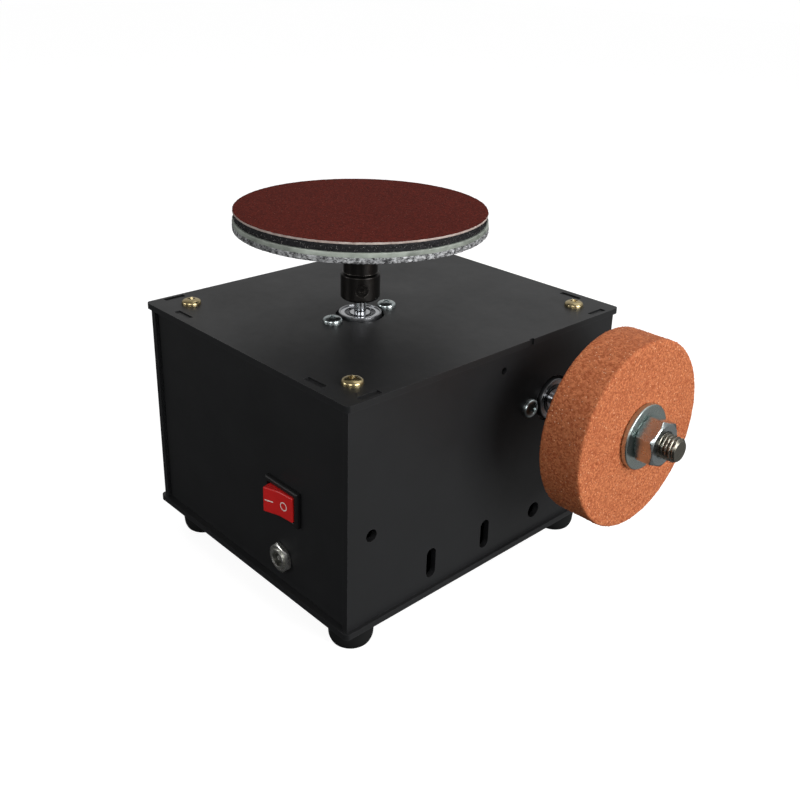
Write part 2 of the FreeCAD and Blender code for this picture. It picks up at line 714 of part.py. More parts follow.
def make_disc_station():
    axis = Vec(DISC_X, DISC_Y, 0)
    collar = chamfered_rod(COLLET_R, COLLET_L, COLLET_CHAMFER)
    neck = rod(COLLET_NECK_R, COLLET_NECK_L, Vec(0, 0, COLLET_L))
    stud_l = BACKING_LOW_T + BACKING_TOP_T
    stud = rod(COLLET_STUD_R, stud_l, Vec(0, 0, COLLET_L + COLLET_NECK_L))
    shaft_depth = SHAFT_OUT - PLATE_T - COLLET_CLEAR
    socket = rod(SHAFT_R + FIT_GAP, shaft_depth + SOCKET_END_GAP, Vec(0, 0, 0))
    angle = math.radians(GRUB_ANGLE)
    grub_dir = Vec(math.cos(angle), math.sin(angle), 0)
    grub_z = COLLET_L / 2 - GRUB_BELOW_MID
    coupling = fuse_all([collar, neck, stud]).cut(socket)
    grubs = []
    for side in (-1, 1):
        coupling = coupling.cut(grub_cutter(Vec(0, 0, grub_z), grub_dir * side, COLLET_R))
        grubs.append(grub_screw(Vec(0, 0, grub_z), grub_dir * side, COLLET_R))
    place = axis + Z_DIR * COLLET_BOTTOM
    coupling.translate(place)
    for grub in grubs:
        grub.translate(place)
    save("disc_coupling", coupling)
    save("disc_coupling_screws", *grubs)

    washer_bore = COLLET_NECK_R + DISC_WASHER_GAP
    washer_start = axis + Z_DIR * (COLLET_TOP - COLLET_WASHER_T)
    washer = tube(COLLET_WASHER_R, washer_bore, COLLET_WASHER_T, washer_start)
    save("disc_washer", washer)

    z = BACKING_BOTTOM
    bore = COLLET_STUD_R + WHEEL_BORE_GAP
    board_r = DISC_R + BACKING_LOW_OVERHANG
    plate_r = DISC_R + BACKING_LOW_OVERHANG / 2
    save("backing_board", tube(board_r, bore, BACKING_LOW_T, axis + Z_DIR * z))
    z += BACKING_LOW_T
    save("backing_plate", tube(plate_r, bore, BACKING_TOP_T, axis + Z_DIR * z))
    z += BACKING_TOP_T
    save("hook_pad", rod(DISC_R - HOOK_PAD_INSET, HOOK_PAD_T, axis + Z_DIR * z))
    z += HOOK_PAD_T
    save("abrasive_disc", rod(DISC_R, ABRASIVE_T, axis + Z_DIR * z))


def grub_screw(centre, radial, outer_r):
    """Socket set screw: its tip presses on the shaft, its outer end lies just under the surface."""
    start_r = SHAFT_R + GRUB_TIP_GAP
    length = outer_r - GRUB_SUNK - start_r
    screw = rod(GRUB_R, length, Vec(0, 0, start_r))
    socket = hexagon(GRUB_R, GRUB_L / 2, Vec(0, 0, start_r + length - GRUB_L / 2))
    return stood_on(screw.cut(socket), centre, radial)


# ---------------------------------------------------------------- grinding wheel station
def make_wheel_station():
    def at(x):
        return Vec(x, WHEEL_Y, WHEEL_Z)

    body = chamfered_rod(ARBOR_R, ARBOR_L, COLLET_CHAMFER)
    stud_l = STUD_END - ARBOR_START - ARBOR_L
    stud = rod(STUD_R, stud_l - STUD_CHAMFER, Vec(0, 0, ARBOR_L))
    tip_start = Vec(0, 0, ARBOR_L + stud_l - STUD_CHAMFER)
    tip = Part.makeCone(STUD_R, STUD_R - STUD_CHAMFER, STUD_CHAMFER, tip_start)
    shaft_depth = SHAFT_OUT - PANEL_T - ARBOR_CLEAR
    socket = rod(SHAFT_R + FIT_GAP, shaft_depth + SOCKET_END_GAP, Vec(0, 0, 0))
    arbor = fuse_all([body, stud, tip]).cut(socket)
    grubs = []
    angle = math.radians(-GRUB_ANGLE)
    grub_dir = Vec(math.cos(angle), math.sin(angle), 0)
    grub_z = ARBOR_L / 2 - ARBOR_GRUB_BELOW_MID
    for side in (-1, 1):
        arbor = arbor.cut(grub_cutter(Vec(0, 0, grub_z), grub_dir * side, ARBOR_R))
        grub = grub_screw(Vec(0, 0, grub_z), grub_dir * side, ARBOR_R)
        grubs.append(stood_on(grub, at(ARBOR_START), X_DIR))
    save("wheel_arbor", stood_on(arbor, at(ARBOR_START), X_DIR))
    save("wheel_arbor_screws", *grubs)

    bore = STUD_R + WHEEL_BORE_GAP
    inner_start = at(WHEEL_BACK - INNER_WASHER_T)
    save("inner_washer", tube(WASHER_R, bore, INNER_WASHER_T, inner_start, X_DIR))
    save("grinding_wheel", tube(WHEEL_R, bore, WHEEL_T, at(WHEEL_BACK), X_DIR))
    save("outer_washer", tube(WASHER_R, bore, WASHER_T, at(WHEEL_FRONT), X_DIR))
    nut = hexagon(NUT_AF, NUT_H, Vec(0, 0, 0), Z_DIR, NUT_TURN)
    corner_r = NUT_AF / 2 / ROOT_OF_3_HALF
    crown = rod(corner_r, NUT_H, Vec(0, 0, 0))
    crown_edges = [edge for edge in crown.Edges if edge.BoundBox.ZLength < 0.01]
    chamfer = (corner_r - NUT_AF / 2) * NUT_CHAMFER_SHARE
    nut = nut.common(crown.makeChamfer(chamfer, crown_edges))
    nut = nut.cut(rod(STUD_R + THREAD_GAP, NUT_H, Vec(0, 0, 0)))
    save("arbor_nut", stood_on(nut, at(WHEEL_FRONT + WASHER_T), X_DIR))


# ---------------------------------------------------------------- rocker switch
def make_switch():
    bezel = box(SWITCH_X - BEZEL_L / 2, SWITCH_X + BEZEL_L / 2, BEZEL_FRONT, -FRONT_OUT,
                SWITCH_Z - BEZEL_H / 2, SWITCH_Z + BEZEL_H / 2)
    rim = [edge for edge in bezel.Edges if edge.BoundBox.YMax < BEZEL_FRONT + 0.01]
    bezel = bezel.makeFillet(BEZEL_EDGE_R, rim)
    body_x = SWITCH_X - SWITCH_BODY_L / 2
    body_back = -FRONT_OUT + SWITCH_BODY_DEEP
    body = box(body_x, body_x + SWITCH_BODY_L, -FRONT_OUT, body_back,
               SWITCH_Z - SWITCH_BODY_H / 2, SWITCH_Z + SWITCH_BODY_H / 2)
    well_l = ROCKER_L / 2 + ROCKER_SWING_GAP
    well_h = ROCKER_H / 2 + ROCKER_GAP
    well = box(SWITCH_X - well_l, SWITCH_X + well_l, BEZEL_FRONT, PIVOT_Y + ROCKER_WELL_D,
               SWITCH_Z - well_h, SWITCH_Z + well_h)
    pin_half = ROCKER_H / 2 + PIVOT_L
    hole_half = pin_half + PIVOT_END_GAP
    pin_hole = rod(PIVOT_R + FIT_GAP, 2 * hole_half, Vec(SWITCH_X, PIVOT_Y, SWITCH_Z - hole_half))
    save("switch_housing", fuse_all([bezel, body]).cut([well, pin_hole]))

    # Rocker: seen from above it is a shallow V that turns about an upright pin.
    # At rest its O end (+X) is pressed in.
    z0 = SWITCH_Z - ROCKER_H / 2
    reach = ROCKER_L / 2
    outline = [
        Vec(-reach, ROCKER_UNDER, z0),
        Vec(-reach, ROCKER_END, z0),
        Vec(0, ROCKER_MID, z0),
        Vec(reach, ROCKER_END, z0),
        Vec(reach, ROCKER_UNDER, z0),
    ]
    pivot_pin = rod(PIVOT_R, 2 * pin_half, Vec(0, 0, SWITCH_Z - pin_half))
    rocker = fuse_all([polygon(outline, Z_DIR * ROCKER_H), pivot_pin])
    rocker.rotate(Vec(0, 0, 0), Z_DIR, ROCKER_TILT)
    rocker.translate(Vec(SWITCH_X, PIVOT_Y, 0))
    save("switch_rocker", rocker)

    blades = []
    for offset in (-SWITCH_BLADE_OFFSET, SWITCH_BLADE_OFFSET):
        x = SWITCH_X + offset
        blades.append(box(x - TERMINAL_T / 2, x + TERMINAL_T / 2, body_back, body_back + TERMINAL_L,
                          SWITCH_Z - TERMINAL_W / 2, SWITCH_Z + TERMINAL_W / 2))
    save("switch_terminals", *blades)


# ---------------------------------------------------------------- power inlet
def make_jack():
    def at(y):
        return Vec(JACK_X, y, JACK_Z)

    front_y = -FRONT_OUT - JACK_OUT
    barrel = rod(JACK_BARREL_R, FRONT_OUT - FRONT_IN + JACK_OUT, at(front_y), Y_DIR)
    block = rod(JACK_BODY_R, JACK_BODY_L, at(-FRONT_IN), Y_DIR)
    body = fuse_all([barrel, block]).cut(rod(JACK_BORE_R, JACK_BORE_D, at(front_y), Y_DIR))
    save("jack_body", body)

    pin_start = front_y + JACK_PIN_SUNK
    save("jack_pin", rod(JACK_PIN_R, front_y + JACK_BORE_D - pin_start, at(pin_start), Y_DIR))

    nut = hexagon(JACK_NUT_AF, JACK_NUT_H, at(-FRONT_OUT), -Y_DIR, JACK_NUT_TURN)
    nut_bore = rod(JACK_BARREL_R + THREAD_GAP, JACK_NUT_H, at(-FRONT_OUT), -Y_DIR)
    save("jack_nut", nut.cut(nut_bore))

    tags = []
    back = -FRONT_IN + JACK_BODY_L
    for offset in (-JACK_TAG_OFFSET, JACK_TAG_OFFSET):
        x = JACK_X + offset
        tags.append(box(x - TERMINAL_T / 2, x + TERMINAL_T / 2, back, back + JACK_TAG_L,
                        JACK_Z - TERMINAL_W / 2, JACK_Z + TERMINAL_W / 2))
    save("jack_tags", *tags)


# ---------------------------------------------------------------- wiring
def wire_run(points):
    """Round wire through a list of points: straight runs joined by tangent arcs."""
    edges = []
    last = points[0]
    for k in range(1, len(points) - 1):
        corner = points[k]
        into = (points[k - 1] - corner).normalize()
        out = (points[k + 1] - corner).normalize()
        half = into.getAngle(out) / 2
        back_off = WIRE_BEND / math.tan(half)
        start = corner + into * back_off
        end = corner + out * back_off
        bisector = (into + out).normalize()
        middle = corner + bisector * (WIRE_BEND / math.sin(half) - WIRE_BEND)
        edges.append(Part.LineSegment(last, start).toShape())
        edges.append(Part.Arc(start, middle, end).toShape())
        last = end
    edges.append(Part.LineSegment(last, points[-1]).toShape())
    path = Part.Wire(edges)
    first = (points[1] - points[0]).normalize()
    circle = Part.Wire(Part.makeCircle(WIRE_R, points[0], first))
    return path.makePipeShell([circle], True, False)


def make_wires():
    """Leads between the inlet, the switch and the two motors, lying inside the case."""
    blade_y = -FRONT_OUT + SWITCH_BODY_DEEP + TERMINAL_L / 2
    blade_foot = SWITCH_Z - TERMINAL_W / 2
    tag_back = -FRONT_IN + JACK_BODY_L + JACK_TAG_L
    disc_tail = PANEL_TOP - MOTOR_L - TERMINAL_L
    wheel_tail = SIDE_IN - MOTOR_L - TERMINAL_L
    feed_x = SWITCH_X - SWITCH_BLADE_OFFSET
    live_x = SWITCH_X + SWITCH_BLADE_OFFSET
    minus_x = JACK_X + JACK_TAG_OFFSET
    half_step = WIRE_PAIR_STEP / 2
    # The leads cross the floor of the case, below the upright motor.
    low_lane = PANEL_BOTTOM + LOW_LANE_UP
    high_lane = PANEL_BOTTOM + HIGH_LANE_UP
    left_lane = DISC_X - MOTOR_R - LEFT_LANE_CLEAR
    far_lane = left_lane - FAR_LANE_STEP
    long_tail_y = tag_back + LONG_TAIL
    short_tail_y = tag_back + SHORT_TAIL

    inlet_to_switch = wire_run([
        Vec(JACK_X - JACK_TAG_OFFSET, blade_y, JACK_Z + TERMINAL_W / 2),
        Vec(feed_x, blade_y, blade_foot),
    ])
    switch_to_disc = wire_run([
        Vec(live_x, blade_y + half_step, blade_foot),
        Vec(live_x, blade_y + half_step, high_lane),
        Vec(DISC_X + TERMINAL_OFFSET, DISC_Y, high_lane),
        Vec(DISC_X + TERMINAL_OFFSET, DISC_Y, disc_tail),
    ])
    switch_to_wheel = wire_run([
        Vec(live_x, blade_y - half_step, blade_foot),
        Vec(live_x, blade_y - half_step, low_lane),
        Vec(left_lane, blade_y - half_step, low_lane),
        Vec(left_lane, WHEEL_Y, low_lane),
        Vec(left_lane, WHEEL_Y, WHEEL_Z - TERMINAL_OFFSET),
        Vec(wheel_tail, WHEEL_Y, WHEEL_Z - TERMINAL_OFFSET),
    ])
    disc_to_inlet = wire_run([
        Vec(minus_x, tag_back, JACK_Z + half_step),
        Vec(minus_x, long_tail_y, JACK_Z + half_step),
        Vec(DISC_X - TERMINAL_OFFSET, DISC_Y, JACK_Z - half_step),
        Vec(DISC_X - TERMINAL_OFFSET, DISC_Y, disc_tail),
    ])
    wheel_to_inlet = wire_run([
        Vec(minus_x, tag_back, JACK_Z - half_step),
        Vec(minus_x, short_tail_y, JACK_Z - half_step),
        Vec(far_lane, short_tail_y, JACK_Z - half_step),
        Vec(far_lane, WHEEL_Y, JACK_Z - half_step),
        Vec(far_lane, WHEEL_Y, WHEEL_Z + TERMINAL_OFFSET),
        Vec(wheel_tail, WHEEL_Y, WHEEL_Z + TERMINAL_OFFSET),
    ])
    save("switch_wires", inlet_to_switch, switch_to_disc, switch_to_wheel)
    save("return_wires", disc_to_inlet, wheel_to_inlet)


os.makedirs("parts", exist_ok=True)
make_top_plate()
make_bottom_plate()
make_panels()
make_posts_and_feet()
place_motor("disc_motor", Vec(DISC_X, DISC_Y, PANEL_TOP), Z_DIR, PLATE_T)
place_motor("wheel_motor", Vec(SIDE_IN, WHEEL_Y, WHEEL_Z), X_DIR, PANEL_T)
make_disc_station()
make_wheel_station()
make_switch()
make_jack()
make_wires()
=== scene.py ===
# %% [markdown]
# # A small two-station stone grinder
# This lesson dresses a finished mechanical model for a studio picture.  The object is a black
# sheet-metal box with two motors inside: one turns a flat abrasive disc on top, the other a grinding
# wheel at the side.  The mechanical model fixes every size and place, so nothing is fitted by eye:
# each step asks the model where a piece is, and then makes that piece look like what it is.

# %% Load the mechanical model
import json
import math

import bmesh
import bpy
from mathutils import Matrix, Vector
from mathutils import noise as mathutils_noise
from mathutils.bvhtree import BVHTree

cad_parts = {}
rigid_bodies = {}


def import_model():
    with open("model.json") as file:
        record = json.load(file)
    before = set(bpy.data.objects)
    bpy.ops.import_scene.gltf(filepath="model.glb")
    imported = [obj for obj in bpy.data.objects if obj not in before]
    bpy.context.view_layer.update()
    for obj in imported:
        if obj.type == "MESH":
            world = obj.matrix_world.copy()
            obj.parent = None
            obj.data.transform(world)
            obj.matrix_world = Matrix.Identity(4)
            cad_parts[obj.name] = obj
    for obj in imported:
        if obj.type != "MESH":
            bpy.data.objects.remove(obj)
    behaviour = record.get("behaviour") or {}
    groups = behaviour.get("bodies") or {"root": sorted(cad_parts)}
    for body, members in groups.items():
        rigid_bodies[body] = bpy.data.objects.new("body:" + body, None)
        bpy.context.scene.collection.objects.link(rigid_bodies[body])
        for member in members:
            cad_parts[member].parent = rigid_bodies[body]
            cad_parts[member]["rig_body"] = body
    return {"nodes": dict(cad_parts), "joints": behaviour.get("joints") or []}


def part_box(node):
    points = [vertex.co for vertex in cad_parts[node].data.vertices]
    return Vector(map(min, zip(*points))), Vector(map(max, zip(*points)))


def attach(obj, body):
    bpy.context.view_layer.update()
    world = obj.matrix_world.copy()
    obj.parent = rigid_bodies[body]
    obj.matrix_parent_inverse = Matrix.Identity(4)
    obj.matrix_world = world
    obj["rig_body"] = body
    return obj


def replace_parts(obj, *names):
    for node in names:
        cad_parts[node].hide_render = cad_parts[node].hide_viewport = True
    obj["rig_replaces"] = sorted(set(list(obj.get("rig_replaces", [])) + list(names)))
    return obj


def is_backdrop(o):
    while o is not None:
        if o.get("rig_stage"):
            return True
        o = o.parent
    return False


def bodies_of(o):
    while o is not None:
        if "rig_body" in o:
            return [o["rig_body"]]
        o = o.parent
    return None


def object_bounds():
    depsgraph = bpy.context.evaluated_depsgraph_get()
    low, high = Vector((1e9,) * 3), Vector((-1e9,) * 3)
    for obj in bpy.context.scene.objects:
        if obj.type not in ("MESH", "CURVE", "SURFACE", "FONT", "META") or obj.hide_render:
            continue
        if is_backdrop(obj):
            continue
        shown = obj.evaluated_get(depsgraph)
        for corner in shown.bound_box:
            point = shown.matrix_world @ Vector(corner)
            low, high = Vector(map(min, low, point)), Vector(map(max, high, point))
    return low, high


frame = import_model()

MM = 0.001
X_AXIS = Vector((1, 0, 0))
Y_AXIS = Vector((0, 1, 0))
Z_AXIS = Vector((0, 0, 1))
cad_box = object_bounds()
print(len(frame["nodes"]), "nodes, box from", cad_box[0], "to", cad_box[1])

# %% [markdown]
# ## Camera
# The camera comes first, because it decides what has to carry detail.  It looks at the switch side
# and the wheel side together, a little from above.  A view is easier to read as two angles, a small
# roll and a distance from a point on the object than as a bare matrix, so the matrix is built from
# them.  The lens is shifted down a little, so the upright edges stay nearly upright.

# %% Camera
VIEW_AZIMUTH = math.radians(46.47)
VIEW_ELEVATION = math.radians(22.04)
VIEW_ROLL = math.radians(1.54)
VIEW_DISTANCE = 419.75 * MM
VIEW_TARGET = Vector((-32.5, 13.7, 86.8)) * MM
LENS_MM = 43.14
LENS_SHIFT_Y = -0.075


def camera_matrix():
    backward = Vector((
        math.sin(VIEW_AZIMUTH) * math.cos(VIEW_ELEVATION),
        -math.cos(VIEW_AZIMUTH) * math.cos(VIEW_ELEVATION),
        math.sin(VIEW_ELEVATION),
    ))
    level = Vector((math.cos(VIEW_AZIMUTH), math.sin(VIEW_AZIMUTH), 0))
    upward = backward.cross(level)
    right = level * math.cos(VIEW_ROLL) + upward * math.sin(VIEW_ROLL)
    up = upward * math.cos(VIEW_ROLL) - level * math.sin(VIEW_ROLL)
    turn = Matrix((right, up, backward)).transposed().to_4x4()
    return Matrix.Translation(VIEW_TARGET + backward * VIEW_DISTANCE) @ turn


camera_data = bpy.data.cameras.new("camera")
camera_data.lens = LENS_MM
camera_data.shift_y = LENS_SHIFT_Y
camera_data.clip_start = 10 * MM
camera = bpy.data.objects.new("camera", camera_data)
bpy.context.scene.collection.objects.link(camera)
camera.matrix_world = camera_matrix()
bpy.context.scene.camera = camera
print("camera stands at", camera.matrix_world.translation)

# %% [markdown]
# ## Reading places from the model
# The spindle axes and the rocker's hinge are joints of the model, so they are read from it.  A node's
# box gives the rest: its two corners, its middle and its size.

# %% Places
joints = {joint["name"]: joint for joint in frame["joints"]}
DISC_AXIS = Vector(joints["disc_spin"]["pos_m"])
WHEEL_AXIS = Vector(joints["wheel_spin"]["pos_m"])


def middle(node):
    low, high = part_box(node)
    return (low + high) / 2


def size(node):
    low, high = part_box(node)
    return high - low


print("disc axis", DISC_AXIS, "wheel axis", WHEEL_AXIS)

# %% [markdown]
# ## Node helpers
# Materials and Geometry Nodes trees are both graphs.  Small helpers keep them readable: one finds a
# socket by name, one joins or sets it, one adds a node, one does arithmetic, and one mixes colours.

# %% Node helpers
def socket(node, name, nth=0):
    """The nth switched-on input of that name."""
    return [entry for entry in node.inputs if entry.name == name and entry.enabled][nth]


def feed(tree, source, target):
    """Joins a socket to an input, or sets the input when the source is a plain value."""
    if isinstance(source, bpy.types.NodeSocket):
        tree.links.new(source, target)
    else:
        target.default_value = source


def add(tree, kind, settings=None, **inputs):
    """Adds a node, sets its settings, then joins or sets its inputs; _ in a name stands for a space."""
    node = tree.nodes.new(kind)
    for key, value in (settings or {}).items():
        setattr(node, key, value)
    for key, value in inputs.items():
        feed(tree, value, socket(node, key.replace("_", " ")))
    return node


def out(node, name=None):
    """A node's first switched-on output, or the one of that name."""
    return [entry for entry in node.outputs if entry.enabled and name in (None, entry.name)][0]


def calc(tree, operation, *terms, clamp=False):
    """One arithmetic step on numbers or sockets."""
    node = add(tree, "ShaderNodeMath", {"operation": operation, "use_clamp": clamp})
    for slot, term in zip(node.inputs, terms):
        feed(tree, term, slot)
    return out(node)


def mixed(tree, mask, first, second):
    """Goes from the first colour to the second as the mask goes from 0 to 1."""
    return out(add(tree, "ShaderNodeMix", {"data_type": "RGBA"}, Factor=mask, A=first, B=second))


def ranged(tree, value, low, high, to_low=0.0, to_high=1.0):
    """Maps low to to_low and high to to_high, and stops at both."""
    return out(add(tree, "ShaderNodeMapRange", Value=value, From_Min=low, From_Max=high,
                   To_Min=to_low, To_Max=to_high))


def vectors(tree, operation, *terms):
    """One arithmetic step on directions or points."""
    node = add(tree, "ShaderNodeVectorMath", {"operation": operation})
    for slot, term in zip([entry for entry in node.inputs if entry.enabled], terms):
        feed(tree, term, slot)
    return out(node)


def rgb(red, green, blue):
    """A colour given as screen values from 0 to 255, turned into the linear values that shaders use."""
    shares = [level / 255 for level in (red, green, blue)]
    return (*[s / 12.92 if s <= 0.04045 else ((s + 0.055) / 1.055) ** 2.4 for s in shares], 1.0)


print("mid grey is", round(rgb(128, 128, 128)[0], 3), "in linear light")

# %% [markdown]
# ## Shared surface effects
# Real surfaces repeat a few effects: colour that drifts from patch to patch, edges rubbed bare, dust
# on what faces up, fine grain, and the rings that a lathe leaves; on some finishes the paler edge is
# also a painted edge highlight.  Each effect is one shader node group with named inputs, built once
# and placed in each material with that material's own numbers.
# All of them read Object coordinates, so a pattern stays on its piece when the piece turns.

# %% A helper that starts a node group
def start_group(name, inputs, outputs):
    """An empty shader group; inputs are name: (socket kind, value), outputs are name: socket kind."""
    tree = bpy.data.node_groups.new(name, "ShaderNodeTree")
    for label, (kind, value) in inputs.items():
        tree.interface.new_socket(label, in_out="INPUT", socket_type=kind).default_value = value
    for label, kind in outputs.items():
        tree.interface.new_socket(label, in_out="OUTPUT", socket_type=kind)
    entry = tree.nodes.new("NodeGroupInput")
    exit_node = tree.nodes.new("NodeGroupOutput")
    given = {label: entry.outputs[label] for label in inputs}
    return tree, given, exit_node


NUMBER = "NodeSocketFloat"
VECTOR = "NodeSocketVector"


def noise(tree, vector, scale, detail=3.0, roughness=0.55):
    """Cloudy random levels from 0 to 1; the cells are one over scale across."""
    return out(add(tree, "ShaderNodeTexNoise", Vector=vector, Scale=scale, Detail=detail,
                   Roughness=roughness), "Fac")


def own_place(tree):
    """The point's place on its own piece, in metres."""
    return add(tree, "ShaderNodeTexCoord").outputs["Object"]


print("group sockets are", NUMBER, "and", VECTOR)

# %% [markdown]
# Patches are two sizes of noise blended, so that no two areas have quite the same tone.  Grain is
# a fine noise for the height of a bump: the small bumps of sprayed powder or moulded plastic.

# %% Patches and grain
patches, given, result = start_group(
    "patches", {"Scale": (NUMBER, 40.0), "Contrast": (NUMBER, 1.0)}, {"Mask": NUMBER})
broad = noise(patches, own_place(patches), given["Scale"])
FINE_RATIO = 7.3
BROAD_SHARE = 0.65
NARROW_SHARE = 0.35
fine_scale = calc(patches, "MULTIPLY", given["Scale"], FINE_RATIO)
narrow = noise(patches, own_place(patches), fine_scale, detail=5.0)
blend = calc(patches, "ADD", calc(patches, "MULTIPLY", broad, BROAD_SHARE),
             calc(patches, "MULTIPLY", narrow, NARROW_SHARE))
around = calc(patches, "MULTIPLY", calc(patches, "SUBTRACT", blend, 0.5), given["Contrast"])
feed(patches, calc(patches, "ADD", around, 0.5, clamp=True), result.inputs["Mask"])

grain, given, result = start_group(
    "grain", {"Grain Size": (NUMBER, 0.3), "Softness": (NUMBER, 0.5)}, {"Height": NUMBER})
# Grain Size is in millimetres, and a noise cell is one over its scale across.
grain_scale = calc(grain, "DIVIDE", 1 / MM, given["Grain Size"])
small = noise(grain, own_place(grain), grain_scale, detail=1.0)
LARGE_RATIO = 0.27
large = noise(grain, own_place(grain), calc(grain, "MULTIPLY", grain_scale, LARGE_RATIO), detail=1.0)
share = calc(grain, "MULTIPLY", calc(grain, "SUBTRACT", large, small), given["Softness"])
feed(grain, calc(grain, "ADD", small, share), result.inputs["Height"])
print("groups", patches.name, grain.name)

# %% [markdown]
# An edge is found with the Bevel node: it gives the normal that a rounded edge would have, and where
# that differs from the true normal there is an edge.  Noise breaks the wear up, because paint rubs
# through in places and not in a line.  On the case and the switch the paler edge is also a painted
# highlight, in place of the light that a rounded edge would catch.  Dust lies where the surface faces up.

# %% Edge wear and dust
edge_wear, given, result = start_group(
    "edge_wear", {"Width": (NUMBER, 0.4), "Amount": (NUMBER, 0.5), "Patch Size": (NUMBER, 3.0)},
    {"Mask": NUMBER})
width_m = calc(edge_wear, "MULTIPLY", given["Width"], MM)
rounded = add(edge_wear, "ShaderNodeBevel", {"samples": 4}, Radius=width_m).outputs["Normal"]
true_normal = add(edge_wear, "ShaderNodeNewGeometry").outputs["Normal"]
turned = calc(edge_wear, "SUBTRACT", 1.0, vectors(edge_wear, "DOT_PRODUCT", rounded, true_normal))
BENT_FROM = 0.01
BENT_TO = 0.12
near_edge = ranged(edge_wear, turned, BENT_FROM, BENT_TO)
patch_scale = calc(edge_wear, "DIVIDE", 1 / MM, given["Patch Size"])
broken = noise(edge_wear, own_place(edge_wear), patch_scale, detail=4.0)
threshold = calc(edge_wear, "SUBTRACT", 1.0, given["Amount"])
EDGE_MASK_LEVEL = 0.6
EDGE_MASK_CONTRAST = 4.0
edge_mask_line = calc(edge_wear, "MULTIPLY", threshold, EDGE_MASK_LEVEL)
over_line = calc(edge_wear, "SUBTRACT", broken, edge_mask_line)
wear_and_highlight_mask = calc(edge_wear, "MULTIPLY", over_line, EDGE_MASK_CONTRAST, clamp=True)
feed(edge_wear, calc(edge_wear, "MULTIPLY", near_edge, wear_and_highlight_mask), result.inputs["Mask"])

dust, given, result = start_group(
    "dust", {"Amount": (NUMBER, 0.3), "Speck Size": (NUMBER, 0.6)}, {"Mask": NUMBER})
FILM_SCALE = 22.0
SPECK_SHARE = 0.6
FILM_SHARE = 0.5
facing_of = add(dust, "ShaderNodeNewGeometry").outputs["Normal"]
upward = add(dust, "ShaderNodeSeparateXYZ", Vector=facing_of).outputs["Z"]
speck_scale = calc(dust, "DIVIDE", 1 / MM, given["Speck Size"])
specks = ranged(dust, noise(dust, own_place(dust), speck_scale, detail=2.0), 0.6, 0.75)
film = ranged(dust, noise(dust, own_place(dust), FILM_SCALE, detail=4.0), 0.35, 0.8)
cover = calc(dust, "ADD", calc(dust, "MULTIPLY", specks, SPECK_SHARE),
             calc(dust, "MULTIPLY", film, FILM_SHARE))
lying = calc(dust, "MULTIPLY", cover, ranged(dust, upward, 0.3, 1.0))
feed(dust, calc(dust, "MULTIPLY", lying, given["Amount"], clamp=True), result.inputs["Mask"])
print("groups", edge_wear.name, dust.name)

# %% [markdown]
# A lathe leaves rings about the axis.  A point's distance from the axis and its place along it are
# the only two numbers that a turned mark depends on, so the noise reads just those two.

# %% Turning marks
turning_marks, given, result = start_group(
    "turning_marks",
    {"Centre": (VECTOR, (0, 0, 0)), "Axis": (VECTOR, (0, 0, 1)), "Pitch": (NUMBER, 0.2)},
    {"Height": NUMBER})
offset = vectors(turning_marks, "SUBTRACT", own_place(turning_marks), given["Centre"])
along = vectors(turning_marks, "DOT_PRODUCT", offset, given["Axis"])
on_axis = add(turning_marks, "ShaderNodeVectorMath", {"operation": "SCALE"}, Vector=given["Axis"],
              Scale=along)
from_axis = vectors(turning_marks, "LENGTH", vectors(turning_marks, "SUBTRACT", offset, out(on_axis)))
pair = add(turning_marks, "ShaderNodeCombineXYZ", X=from_axis, Y=along).outputs["Vector"]
ring_scale = calc(turning_marks, "DIVIDE", 1 / MM, given["Pitch"])
feed(turning_marks, noise(turning_marks, pair, ring_scale, detail=2.0), result.inputs["Height"])
print("group", turning_marks.name)

# %% [markdown]
# ## One recipe for the plain finishes
# Paint, plastic, rubber and plated metal are all the same recipe with other numbers: two tones mixed
# by patches, a roughness that drifts, grain in the bump, and then paler edges, dust or lathe rings
# where the real piece has them.  The paler edges are wear, and on some finishes also a painted edge
# highlight.  The recipe puts the Principled BSDF in the material itself, and sets the numbers that
# don't vary straight on its sockets.

# %% The recipe
DRIFT_RATIO = 2.7
EDGE_ROUGHNESS = 0.35
DUST_ROUGHNESS = 0.9


def group(tree, source, **inputs):
    """Places a shared group in a material with its own values; gives its first output."""
    node = tree.nodes.new("ShaderNodeGroup")
    node.node_tree = source
    for key, value in inputs.items():
        feed(tree, value, node.inputs[key.replace("_", " ")])
    return node.outputs[0]


def start_material(name):
    """A new material with its node tree and its Principled BSDF."""
    material = bpy.data.materials.new(name)
    material.use_nodes = True
    tree = material.node_tree
    shader = [node for node in tree.nodes if node.type == "BSDF_PRINCIPLED"][0]
    return material, tree, shader


def bumped(tree, height, depth_mm, strength=1.0, normal=None):
    """A normal tilted by a height that goes depth_mm deep, on top of an earlier normal if there is one."""
    node = add(tree, "ShaderNodeBump", Strength=strength, Distance=depth_mm * MM, Height=height)
    if normal:
        feed(tree, normal, node.inputs["Normal"])
    return node.outputs["Normal"]


